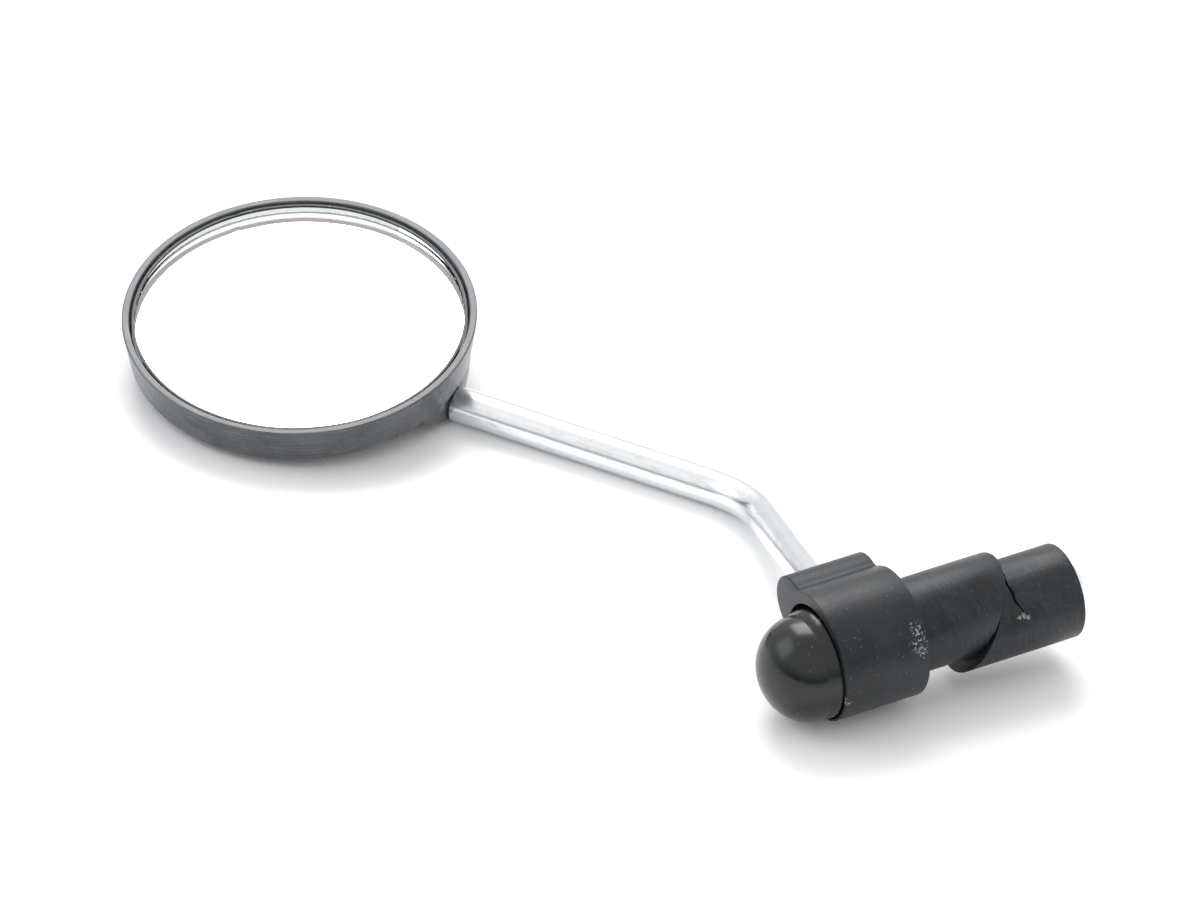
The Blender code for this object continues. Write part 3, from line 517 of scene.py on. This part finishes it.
def bezel_waver(radius, height, angle):
    """The snapped-in ring sits a touch unevenly, with a nick near the far left."""
    drop = 0.05 * MM * math.sin(3 * angle + 0.6) + 0.02 * MM * math.sin(11 * angle)
    nick = 0.22 * MM * math.exp(-((angle - 2.45) / 0.02) ** 2)
    return radius - 0.05 * MM * (1 + math.sin(2 * angle)) + nick * 0.4, height + drop - nick


bezel_bm = lathe(rounded(bezel_ring, 0.12 * MM, 3), 288, rim_frame, bezel_waver)
piece(bezel_bm, "retaining_ring", bezel_mat, "head", ["glass_bezel"])

GLASS_R, GLASS_TOP, GLASS_THICK = 34.0 * MM, -1.2 * MM, 3.0 * MM
glass_mat, tree, shader, at, uv = finish_material("clear_glass")
shader.inputs["Base Color"].default_value = (0.93, 0.97, 0.95, 1.0)
shader.inputs["Transmission Weight"].default_value = 1.0
shader.inputs["IOR"].default_value = 1.52
smear = wire(tree, "ShaderNodeTexNoise", None, Vector=at, Scale=160.0, Detail=4.0)
haze = ramp(tree, smear.outputs["Fac"], [(0.45, 0.0), (0.75, 0.02)])
tree.links.new(haze, shader.inputs["Roughness"])
glass_ring = [(0.0, GLASS_TOP - GLASS_THICK + 0.08 * MM),
              (GLASS_R - 0.2 * MM, GLASS_TOP - GLASS_THICK + 0.08 * MM),
              (GLASS_R, GLASS_TOP - GLASS_THICK + 0.3 * MM), (GLASS_R, GLASS_TOP - 0.2 * MM),
              (GLASS_R - 0.2 * MM, GLASS_TOP), (0.0, GLASS_TOP)]
piece(lathe(glass_ring, 192, rim_frame), "glass_plate", glass_mat, "head",
      ["mirror_glass"], 20.0)
silver_mat, tree, shader, at, uv = finish_material("silvering", metallic=1.0)
cloud = wire(tree, "ShaderNodeTexNoise", None, Vector=at, Scale=90.0, Detail=5.0)
tone = ramp(tree, cloud.outputs["Fac"], [(0.3, (0.955, 0.965, 0.97)), (0.7, (0.975, 0.98, 0.98))])
tree.links.new(tone, shader.inputs["Base Color"])
shader.inputs["Roughness"].default_value = 0.015
silver_low = GLASS_TOP - GLASS_THICK
silver_ring = [(0.0, silver_low), (GLASS_R - 0.3 * MM, silver_low),
               (GLASS_R - 0.3 * MM, silver_low + 0.05 * MM), (0.0, silver_low + 0.05 * MM)]
piece(lathe(silver_ring, 192, rim_frame), "silver_layer", silver_mat, "head",
      ["mirror_glass"])

foam_mat, tree, shader, at, uv = finish_material("foam_cells")
grain = wire(tree, "ShaderNodeGroup", {"node_tree": MOULDED}, Vector=at,
             Dark=(0.05, 0.05, 0.055, 1.0), Light=(0.2, 0.2, 0.21, 1.0), Grain=1500.0,
             Speck=0.1, Roughness=0.9, Relief=0.9)
join_up(tree, shader, grain)
nylon_mat, tree, shader, at, uv = finish_material("natural_nylon")
grain = wire(tree, "ShaderNodeGroup", {"node_tree": MOULDED}, Vector=at,
             Dark=(0.58, 0.56, 0.49, 1.0), Light=(0.78, 0.77, 0.71, 1.0), Grain=1800.0,
             Speck=0.05, Roughness=0.45, Relief=0.2)
join_up(tree, shader, grain)
steel_mat, tree, shader, at, uv = finish_material("spring_steel_oiled", metallic=1.0)
plate = wire(tree, "ShaderNodeGroup", {"node_tree": PLATING}, Vector=at,
             Light=(0.42, 0.43, 0.45, 1.0), Dull=(0.16, 0.16, 0.18, 1.0), Stain=0.8,
             Roughness=0.28)
join_up(tree, shader, plate)


def refinish(node, mat):
    """A CAD node whose shape stays takes a finer finish."""
    slots = frame["nodes"][node].material_slots
    for item in slots:
        item.material = mat


refinish("glass_pad", foam_mat)
refinish("head_bush", nylon_mat)
refinish("head_wave_washer", steel_mat)
refinish("head_clip", steel_mat)

# ---------------------------------------------------------------- arm
# One zinc-plated tube: a straight under the head, one bend, and a straight into the
# collar's boss, with a turned groove near its foot.
TUBE_R, TUBE_BORE = 3.6 * MM, 2.4 * MM
BEND_ANGLE, BEND_R, FOOT = math.radians(51.75), 20.0 * MM, 1.5 * MM
GROOVE_R, GROOVE_BACK, GROOVE_HALF = 2.85 * MM, 2.0 * MM, 1.75 * MM
STRAIGHT_STEPS, BEND_STEPS, LOWER_STEPS = 40, 48, 20
zinc_mat, tree, shader, at, uv = finish_material("bright_zinc", metallic=1.0)
plate = wire(tree, "ShaderNodeGroup", {"node_tree": PLATING}, Vector=uv,
             Light=(0.90, 0.92, 0.94, 1.0), Dull=(0.56, 0.60, 0.61, 1.0), Stain=0.75,
             Roughness=0.17)
join_up(tree, shader, plate)

boss_point = Vector(joints["arm_turn"]["pos_m"])
lower_axis = Vector(joints["arm_turn"]["axis"]).normalized()
upper_axis = Vector((1.0, 0.0, 0.0))
lower_length = (boss_point.y - arm_across) / lower_axis.y
corner = boss_point - lower_axis * lower_length
tangent = BEND_R * math.tan(BEND_ANGLE / 2)
into_turn = (lower_axis - upper_axis * lower_axis.dot(upper_axis)).normalized()
tube_start = Vector((glass_middle.x + RIB_OUTER + 0.3 * MM, arm_across, arm_height))
bend_centre = corner - upper_axis * tangent + into_turn * BEND_R
stations = []
for k in range(STRAIGHT_STEPS + 1):
    t = k / STRAIGHT_STEPS
    stations.append((tube_start.lerp(corner - upper_axis * tangent, t), upper_axis, TUBE_R))
for k in range(1, BEND_STEPS):
    angle = BEND_ANGLE * k / BEND_STEPS
    spoke = upper_axis * math.sin(angle) - into_turn * math.cos(angle)
    flatten = 1.0 - 0.012 * math.sin(math.pi * k / BEND_STEPS)
    heading = upper_axis * math.cos(angle) + into_turn * math.sin(angle)
    stations.append((bend_centre + spoke * BEND_R, heading, TUBE_R * flatten))
groove_top = boss_point - lower_axis * (GROOVE_BACK + GROOVE_HALF)
groove_low = boss_point - lower_axis * (GROOVE_BACK - GROOVE_HALF)
foot_end = boss_point + lower_axis * FOOT
for k in range(LOWER_STEPS + 1):
    stations.append(((corner + lower_axis * tangent).lerp(groove_top, k / LOWER_STEPS),
                     lower_axis, TUBE_R))
stations += [(groove_top, lower_axis, GROOVE_R), (groove_low, lower_axis, GROOVE_R),
             (groove_low, lower_axis, TUBE_R), (foot_end - lower_axis * 0.3 * MM, lower_axis,
                                                TUBE_R)]
stations.append((foot_end, lower_axis, TUBE_R - 0.3 * MM))
bore_line = [(place, heading, TUBE_BORE) for place, heading, radius in stations
             if radius > 3.4 * MM][::-1]
bore_line.insert(0, (foot_end, lower_axis, TUBE_BORE))
chamfer = [(tube_start, upper_axis, TUBE_R - 0.25 * MM),
           (tube_start + upper_axis * 0.25 * MM, upper_axis, TUBE_R)]
stations = chamfer + stations[1:]


def sweep(stations, sides, side_vector):
    """Closed ring-by-ring skin with (around, along) UV in metres."""
    bm = bmesh.new()
    layer = bm.loops.layers.uv.new("UVMap")
    rows, travelled, previous = [], [], None
    for place, heading, radius in stations:
        other = side_vector.cross(heading).normalized()
        rows.append([bm.verts.new(place + side_vector * (radius * math.cos(math.tau * i / sides))
                                  + other * (radius * math.sin(math.tau * i / sides)))
                     for i in range(sides)])
        step = 0.0 if previous is None else (place - previous).length
        travelled.append((travelled[-1] if travelled else 0.0) + step)
        previous = place
    for k in range(len(rows)):
        after = (k + 1) % len(rows)
        for i in range(sides):
            j = (i + 1) % sides
            face = bm.faces.new((rows[k][i], rows[k][j], rows[after][j], rows[after][i]))
            turns = (i, i + 1, i + 1, i)
            marks = (k, k, after, after)
            for loop, turn, mark in zip(face.loops, turns, marks):
                loop[layer].uv = (TUBE_R * math.tau * turn / sides, travelled[mark])
    bmesh.ops.recalc_face_normals(bm, faces=bm.faces)
    return bm


level = upper_axis.cross(lower_axis).normalized()
tube_bm = sweep(stations + bore_line, 96, level)
piece(tube_bm, "bent_tube", zinc_mat, "arm", ["arm_tube"], 40.0)
washer_mat, tree, shader, at, uv = finish_material("zinc_small", metallic=1.0)
plate = wire(tree, "ShaderNodeGroup", {"node_tree": PLATING}, Vector=at,
             Light=(0.84, 0.88, 0.93, 1.0), Dull=(0.50, 0.55, 0.62, 1.0), Stain=0.6,
             Roughness=0.2)
join_up(tree, shader, plate)
refinish("head_washer", washer_mat)
refinish("head_pivot_pin", washer_mat)
refinish("arm_foot_plug", nylon_mat)

# ---------------------------------------------------------------- collar
# A ring with a parallel barrel boss for the arm. The ring stands past the boss at the
# cap's end as a thin lip around a recess.
clamp_point = Vector(joints["collar_turn"]["pos_m"])
into_bar = Vector(joints["collar_turn"]["axis"]).normalized()
BOSS_X, BOSS_Y, BOSS_R, BOSS_FILLET = 12.02 * MM, 2.55 * MM, 6.32 * MM, 2.6 * MM
spread = boss_point - clamp_point
spread = (spread - into_bar * spread.dot(into_bar)).normalized()
to_boss = Matrix.Rotation(-math.atan2(BOSS_Y, BOSS_X), 3, into_bar) @ spread
upward = into_bar.cross(to_boss)
clamp_frame = Matrix((to_boss, upward, into_bar)).transposed().to_4x4()
clamp_frame.translation = clamp_point
RING_R, COLLAR_LOW, COLLAR_HIGH, LIP_LOW = 13.08 * MM, -9.7 * MM, 7.47 * MM, -10.8 * MM
RECESS_R, RECESS_FLOOR, HUB_BORE = 11.65 * MM, -7.6 * MM, 6.72 * MM
RECESS_X, RECESS_Y = -0.68 * MM, -0.73 * MM

collar_mat, tree, shader, at, uv = finish_material("collar_grain")
grain = wire(tree, "ShaderNodeGroup", {"node_tree": MOULDED}, Vector=at,
             Dark=(0.001, 0.0015, 0.002, 1.0), Light=(0.018, 0.024, 0.030, 1.0),
             Grain=3000.0, Speck=0.25, Roughness=0.42, Relief=1.0)
flakes = wire(tree, "ShaderNodeTexNoise", None, Vector=at, Scale=2300.0, Detail=4.0)
flaked = ramp(tree, flakes.outputs["Fac"], [(0.50, 0.0), (0.58, 1.0)])
scarred = grain.outputs["Color"]
for turn, height, size in ((138.0, 5.6, 1.5), (150.0, 5.4, 2.0), (159.0, 6.2, 1.2)):
    angle = math.radians(turn)
    scar_place = clamp_frame @ Vector((RING_R * math.cos(angle), RING_R * math.sin(angle),
                                       height * MM))
    scar = wire(tree, "ShaderNodeGroup", {"node_tree": SPOT}, Vector=at, Centre=scar_place,
                Size=size * MM, Ragged=0.7)
    share = math_node(tree, "MULTIPLY", scar.outputs["Mask"],
                      math_node(tree, "MULTIPLY", flaked, 0.8))
    scarred = wire(tree, "ShaderNodeMixRGB", None, Fac=share, Color1=scarred,
                   Color2=(0.30, 0.31, 0.32, 1.0)).outputs[0]
burr_place = clamp_frame @ Vector((-12.4 * MM, -1.6 * MM, -10.7 * MM))
burr = wire(tree, "ShaderNodeGroup", {"node_tree": SPOT}, Vector=at, Centre=burr_place,
            Size=0.0012, Ragged=0.9)
burr_share = math_node(tree, "MULTIPLY", burr.outputs["Mask"], flaked)
scarred = wire(tree, "ShaderNodeMixRGB", None, Fac=burr_share, Color1=scarred,
               Color2=(0.36, 0.34, 0.32, 1.0)).outputs[0]
tree.links.new(scarred, shader.inputs["Base Color"])
shader.inputs["Specular IOR Level"].default_value = 0.38
join_up(tree, shader, grain, ("Roughness", "Normal"))

apart = math.hypot(BOSS_X, BOSS_Y)
boss_turn = Matrix.Rotation(math.atan2(BOSS_Y, BOSS_X), 2)
ring_reach, boss_reach = RING_R + BOSS_FILLET, BOSS_R + BOSS_FILLET
fillet_x = (apart ** 2 + ring_reach ** 2 - boss_reach ** 2) / (2 * apart)
fillet_y = math.sqrt(ring_reach ** 2 - fillet_x ** 2)
ring_touch = math.atan2(fillet_y, fillet_x)
boss_touch = math.atan2(fillet_y, fillet_x - apart)
silhouette = arc((0, 0), RING_R, ring_touch, math.tau - ring_touch, 150)
silhouette += arc((fillet_x, -fillet_y), BOSS_FILLET, math.pi - ring_touch,
                  math.pi - boss_touch, 14)[1:]
silhouette += arc((apart, 0), BOSS_R, -boss_touch, boss_touch, 80)[1:]
silhouette += arc((fillet_x, fillet_y), BOSS_FILLET, math.pi + boss_touch,
                  math.pi + ring_touch, 14)[1:-1]
silhouette = [tuple(boss_turn @ Vector(point)) for point in silhouette]
collar_bm = prism(silhouette, COLLAR_LOW, COLLAR_HIGH, clamp_frame)
collar = piece(collar_bm, "turning_collar", collar_mat, "collar",
               ["bar_collar"])
soften(collar, 0.3 * MM, 3, 60.0)
lip_inside = RECESS_R - 2 * MM
lip_ring = [(lip_inside, LIP_LOW), (RING_R, LIP_LOW), (RING_R, RECESS_FLOOR - MM),
            (lip_inside, RECESS_FLOOR - MM)]
recess_frame = clamp_frame @ Matrix.Translation((RECESS_X, RECESS_Y, 0.0))
lip_bm = lathe(rounded(lip_ring, 0.2 * MM, 3), 240, clamp_frame)
arm_side = lower_axis.orthogonal().normalized()
arm_frame = Matrix((arm_side, lower_axis.cross(arm_side), lower_axis)).transposed().to_4x4()
arm_frame.translation = boss_point
pin_low, pin_high = (Vector(corner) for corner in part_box("arm_lock_pin"))
pin_middle = clamp_frame.inverted() @ ((pin_low + pin_high) / 2)
pin_frame = clamp_frame @ Matrix.Translation((pin_middle.x, pin_middle.y, 0.0))


def plain_cut(name, radius, low, high, matrix, segments=96):
    outline = [(0.0, low), (radius, low), (radius, high), (0.0, high)]
    return piece(lathe(outline, segments, matrix), name, collar_mat, None)


SEAT_R, SEAT_DEEP, PIN_HOLE_R = 9.65 * MM, 1.25 * MM, 1.1 * MM
carve(collar, [
    ("UNION", piece(lip_bm, "lip", collar_mat, None)),
    ("DIFFERENCE", plain_cut("hub", HUB_BORE, -9 * MM, 9 * MM, clamp_frame)),
    ("DIFFERENCE", plain_cut("recess", RECESS_R, -13 * MM, RECESS_FLOOR, recess_frame, 240)),
    ("DIFFERENCE", plain_cut("seat", SEAT_R, COLLAR_HIGH - SEAT_DEEP, 9 * MM, clamp_frame)),
    ("DIFFERENCE", plain_cut("arm", TUBE_R + 0.14 * MM, -16 * MM, FOOT + 0.3 * MM, arm_frame)),
    ("DIFFERENCE", plain_cut("pin", PIN_HOLE_R, RECESS_FLOOR, 9 * MM, pin_frame, 32)),
])
refinish("arm_lock_pin", steel_mat)
refinish("collar_friction_ring", nylon_mat)

# ---------------------------------------------------------------- plug, wedge and screw
# The spigot and the wedge share an oblique cut. The screw pulls the nut and the wedge up
# the slope, so that the two grip the bar.
HUB_R, SPIGOT_R, SCREW_HOLE = 6.6 * MM, 9.46 * MM, 2.9 * MM
CUT_AT, CUT_ANGLE, CUT_SIDE = 24.25 * MM, math.radians(28.0), math.radians(76.0)
WEDGE_SHIFT, WEDGE_END, GAP = 2.71 * MM, 43.7 * MM, 0.3 * MM
WEDGE_R, CUT_GAP = 9.55 * MM, 0.5 * MM
SCREW_R, SCREW_HEAD_R, HEAD_HIGH = 2.5 * MM, 4.25 * MM, 5.0 * MM
HEAD_SEAT, SCREW_TIP, PITCH = -10.6 * MM, 47.6 * MM, 0.8 * MM
SHANK_END, THREAD_DEEP, KEY_R, KEY_DEEP = 28.0 * MM, 0.42 * MM, 2.31 * MM, 2.6 * MM
screw_seat = Vector(joints["screw_turn"]["pos_m"])
screw_axis = Vector(joints["screw_turn"]["axis"]).normalized()
screw_lean = into_bar.rotation_difference(screw_axis).to_matrix().to_4x4()
screw_frame = (Matrix.Translation(screw_seat) @ screw_lean
               @ Matrix.Translation(-screw_seat) @ clamp_frame)
long_side = Vector((math.cos(CUT_SIDE), math.sin(CUT_SIDE), 0.0))
slope_normal = Vector((0, 0, 1)) * math.cos(CUT_ANGLE) - long_side * math.sin(CUT_ANGLE)
slope_across = Vector((0, 0, 1)).cross(long_side)


def slope_block(name, beyond, offset):
    size = 40.0 * MM
    bm = bmesh.new()
    bmesh.ops.create_cube(bm, size=2 * size)
    bmesh.ops.translate(bm, verts=bm.verts, vec=(0, 0, size if beyond else -size))
    turn = Matrix((slope_across.cross(slope_normal), slope_across, slope_normal)).transposed()
    place = turn.to_4x4()
    place.translation = Vector((0, 0, CUT_AT)) + slope_normal * offset
    bmesh.ops.transform(bm, matrix=clamp_frame @ place, verts=bm.verts)
    bmesh.ops.recalc_face_normals(bm, faces=bm.faces)
    return piece(bm, name, collar_mat, None)


plug_mat, tree, shader, at, uv = finish_material("plug_scratched")
grain = wire(tree, "ShaderNodeGroup", {"node_tree": MOULDED}, Vector=at,
             Dark=(0.001, 0.0015, 0.002, 1.0), Light=(0.018, 0.024, 0.030, 1.0),
             Grain=2800.0, Speck=0.18, Roughness=0.42, Relief=0.9)
marks = wire(tree, "ShaderNodeGroup", {"node_tree": LINES}, Vector=uv, Angle=1.45,
             Across=7200.0, Along=130.0, Threshold=0.58)
scratched = wire(tree, "ShaderNodeMixRGB", None, Fac=math_node(
    tree, "MULTIPLY", marks.outputs["Mask"], 0.18), Color1=grain.outputs["Color"],
    Color2=(0.09, 0.105, 0.12, 1.0)).outputs[0]
for turn, height, size in ((149.0, 30.2, 0.55), (153.0, 31.0, 0.5), (150.0, 29.3, 0.45)):
    angle = math.radians(turn)
    middle = Vector((WEDGE_R * math.cos(angle), WEDGE_R * math.sin(angle), height * MM))
    burr = wire(tree, "ShaderNodeGroup", {"node_tree": SPOT}, Vector=at,
                Centre=clamp_frame @ (middle - long_side * WEDGE_SHIFT), Size=size * MM,
                Ragged=0.8)
    share = math_node(tree, "MULTIPLY", burr.outputs["Mask"], 0.7)
    scratched = wire(tree, "ShaderNodeMixRGB", None, Fac=share, Color1=scratched,
                     Color2=(0.30, 0.29, 0.27, 1.0)).outputs[0]
tree.links.new(scratched, shader.inputs["Base Color"])
shader.inputs["Specular IOR Level"].default_value = 0.38
join_up(tree, shader, grain, ("Roughness",))
relief = wire(tree, "ShaderNodeBump", None, Strength=0.15, Distance=0.00004,
              Height=marks.outputs["Soft"], Normal=grain.outputs["Normal"])
tree.links.new(relief.outputs["Normal"], shader.inputs["Normal"])

hub_low, shoulder_at = RECESS_FLOOR - 0.2 * MM, COLLAR_HIGH + GAP
body_outline = [(0.0, hub_low), (HUB_R, hub_low), (HUB_R, shoulder_at),
                (SPIGOT_R, shoulder_at), (SPIGOT_R, CUT_AT + 12 * MM),
                (0.0, CUT_AT + 12 * MM)]
spigot = piece(lathe(rounded(body_outline, 0.25 * MM, 3), 160, clamp_frame), "spigot", plug_mat,
               "plug", ["plug_body"])
carve(spigot, [("DIFFERENCE", slope_block("slope", True, 0.0)),
               ("DIFFERENCE", plain_cut("hole", SCREW_HOLE, -12 * MM, 40 * MM, screw_frame))])
soften(spigot, 0.16 * MM, 2, 40.0)

wedge_frame = clamp_frame @ Matrix.Translation(-long_side * WEDGE_SHIFT)
wedge_turn = wedge_frame @ Matrix.Rotation(CUT_SIDE, 4, "Z")
slug = [(0.0, CUT_AT - 12 * MM), (WEDGE_R, CUT_AT - 12 * MM), (WEDGE_R, WEDGE_END),
        (0.0, WEDGE_END)]
wedge = piece(lathe(rounded(slug, 0.5 * MM, 5), 160, wedge_frame), "slanted_wedge", plug_mat,
              "wedge", ["expander_wedge"])
SLOT_BACK, SLOT_FRONT = -2.85 * MM, 1.65 * MM
NUT_BACK, NUT_FRONT = -2.9 * MM, 0.7 * MM
NUT_R, NUT_HIGH, NUT_SUNK = 4.62 * MM, 4.0 * MM, 0.8 * MM
slot_line = (arc((SLOT_BACK, 0), SCREW_HOLE, math.pi / 2, 3 * math.pi / 2, 24)
             + arc((SLOT_FRONT, 0), SCREW_HOLE, -math.pi / 2, math.pi / 2, 24))
slot_cut = piece(prism(slot_line, 0.0, 50 * MM, wedge_turn), "slot", plug_mat, None)
SEAT_HALF = 4.25 * MM
seat_back, seat_front = NUT_BACK - NUT_R - GAP, NUT_FRONT + NUT_R + GAP
seat_line = [(seat_back, -SEAT_HALF), (seat_front, -SEAT_HALF), (seat_front, SEAT_HALF),
             (seat_back, SEAT_HALF)]
seat_cut = piece(prism(seat_line, WEDGE_END - NUT_SUNK - GAP, 50 * MM, wedge_turn), "nut_seat",
                 plug_mat, None)


def crack_cut():
    """A ragged split that follows the wedge's round, widest in its middle."""
    bm = bmesh.new()
    rings = []
    steps = 26
    for k in range(steps + 1):
        t = k / steps
        angle = math.radians(90.0 + 62.0 * t)
        along = (29.7 - 0.9 * math.sin(math.pi * t) + 0.9 * t + 0.16 * math.sin(17 * t)) * MM
        half = (0.10 + 0.46 * math.sin(math.pi * t) ** 2 + 0.06 * math.sin(31 * t)) * MM
        out = Vector((math.cos(angle), math.sin(angle), 0.0))
        low, high = WEDGE_R - 0.75 * MM, WEDGE_R + 0.4 * MM
        rings.append([bm.verts.new(wedge_frame @ (out * r + Vector((0, 0, along + side * w))))
                      for r, side, w in ((low, 0.0, 0.0), (high, 1.0, half), (high, -1.0, half))])
    for first, second in zip(rings, rings[1:]):
        for i in range(3):
            j = (i + 1) % 3
            bm.faces.new((first[i], first[j], second[j], second[i]))
    bm.faces.new(rings[0])
    bm.faces.new(rings[-1])
    bmesh.ops.recalc_face_normals(bm, faces=bm.faces)
    return piece(bm, "crack", plug_mat, None)


carve(wedge, [("DIFFERENCE", slope_block("slope", False, CUT_GAP)), ("DIFFERENCE", slot_cut),
              ("DIFFERENCE", seat_cut), ("DIFFERENCE", crack_cut())])
soften(wedge, 0.16 * MM, 2, 40.0)


def hexagon(radius, heading):
    return [(radius * math.cos(heading + k * math.pi / 3),
             radius * math.sin(heading + k * math.pi / 3)) for k in range(6)]


nut_low = WEDGE_END - NUT_SUNK
nut = piece(prism(hexagon(NUT_R, CUT_SIDE), nut_low, nut_low + NUT_HIGH, screw_frame),
            "hex_nut", washer_mat, "nut", ["wedge_nut"])
hole, flat, tall = SCREW_R + 0.15 * MM, NUT_R - 1.0 * MM, NUT_R + 0.1 * MM
lens = [(hole, nut_low - MM), (flat, nut_low - MM), (flat, nut_low), (tall, nut_low + 0.5 * MM),
        (tall, nut_low + NUT_HIGH - 0.5 * MM), (flat, nut_low + NUT_HIGH),
        (flat, nut_low + NUT_HIGH + MM), (hole, nut_low + NUT_HIGH + MM)]
carve(nut, [("INTERSECT", piece(lathe(lens, 96, screw_frame), "lens", washer_mat, None))])

screw_outline = [(0.0, HEAD_SEAT - HEAD_HIGH), (SCREW_HEAD_R, HEAD_SEAT - HEAD_HIGH),
                 (SCREW_HEAD_R, HEAD_SEAT), (SCREW_R, HEAD_SEAT), (SCREW_R, SHANK_END)]
turns = int((SCREW_TIP - SHANK_END - MM) / PITCH)
for k in range(turns):
    low = SHANK_END + 0.2 * MM + k * PITCH
    screw_outline += [(SCREW_R - THREAD_DEEP, low + 0.35 * MM), (SCREW_R, low + 0.75 * MM)]
screw_outline += [(SCREW_R - 0.5 * MM, SCREW_TIP), (0.0, SCREW_TIP)]
screw = piece(lathe(screw_outline, 64, screw_frame), "long_screw", washer_mat, "screw",
              ["expander_screw"])
socket = prism(hexagon(KEY_R, 0.0), HEAD_SEAT - HEAD_HIGH - MM,
               HEAD_SEAT - HEAD_HIGH + KEY_DEEP, screw_frame)
carve(screw, [("DIFFERENCE", piece(socket, "socket", washer_mat, None))])
refinish("hub_washer", washer_mat)
refinish("spring_washer", steel_mat)

# ---------------------------------------------------------------- cap
# A soft domed cap set a little off the ring's centre, with a fine seam line on its flank.
CAP_R, CAP_BASE, CAP_SPRING, CROWN = 10.53 * MM, -7.9 * MM, -13.57 * MM, 9.25 * MM
CAP_X, CAP_Y = -1.07 * MM, -1.15 * MM
POCKET_R, WASHER_ROOM_R, WASHER_ROOM_AT = 4.75 * MM, 8.05 * MM, -9.4 * MM
cap_frame = clamp_frame @ Matrix.Translation((CAP_X, CAP_Y, 0.0))
cap_mat, tree, shader, at, uv = finish_material("cap_smooth")
grain = wire(tree, "ShaderNodeGroup", {"node_tree": MOULDED}, Vector=at,
             Dark=(0.001, 0.0013, 0.0016, 1.0), Light=(0.006, 0.008, 0.009, 1.0),
             Grain=1700.0, Speck=0.12, Roughness=0.2, Relief=0.12)
speck_place = cap_frame @ Vector((-7.9 * MM, 6.0 * MM, -18.2 * MM))
dot = wire(tree, "ShaderNodeGroup", {"node_tree": SPOT}, Vector=at, Centre=speck_place,
           Size=0.0003, Ragged=0.3)
dotted = wire(tree, "ShaderNodeMixRGB", None, Fac=dot.outputs["Mask"],
              Color1=grain.outputs["Color"], Color2=(0.6, 0.6, 0.6, 1.0)).outputs[0]
tree.links.new(dotted, shader.inputs["Base Color"])
join_up(tree, shader, grain, ("Roughness", "Normal"))
crown = [(CAP_R * math.cos(k * math.pi / 96), CAP_SPRING - CROWN * math.sin(k * math.pi / 96))
         for k in range(48)]
BASE_R, FLARE, LEAN_X, LEAN_Y = 11.1 * MM, 2.97 * MM, 0.25 * MM, 0.27 * MM
flared = CAP_SPRING + FLARE
seam = [(CAP_R + 0.08 * MM, CAP_SPRING + 0.42 * MM), (CAP_R - 0.02 * MM, CAP_SPRING + 0.3 * MM)]
cap_outline = ([(0.0, CAP_BASE), (BASE_R - 0.3 * MM, CAP_BASE), (BASE_R, CAP_BASE - 0.3 * MM),
                (BASE_R, flared)] + seam + crown + [(0.0, CAP_SPRING - CROWN)])
cap_bm = lathe(cap_outline[::-1], 192, Matrix.Identity(4))
for vert in cap_bm.verts:
    share = min(max(vert.co.z - CAP_SPRING, 0.0) / FLARE, 1.0)
    vert.co.x += share * LEAN_X
    vert.co.y += share * LEAN_Y
bmesh.ops.transform(cap_bm, matrix=cap_frame, verts=cap_bm.verts)
cap = piece(cap_bm, "end_cap", cap_mat, "cap", ["dome_cap"])
pocket_deep = HEAD_SEAT - HEAD_HIGH - 0.5 * MM
hollow = [(0.0, pocket_deep), (POCKET_R, pocket_deep), (POCKET_R, WASHER_ROOM_AT),
          (WASHER_ROOM_R, WASHER_ROOM_AT), (WASHER_ROOM_R, CAP_BASE + MM),
          (0.0, CAP_BASE + MM)]
carve(cap, [("DIFFERENCE", piece(lathe(hollow, 96, clamp_frame), "hollow", cap_mat, None))])

import json
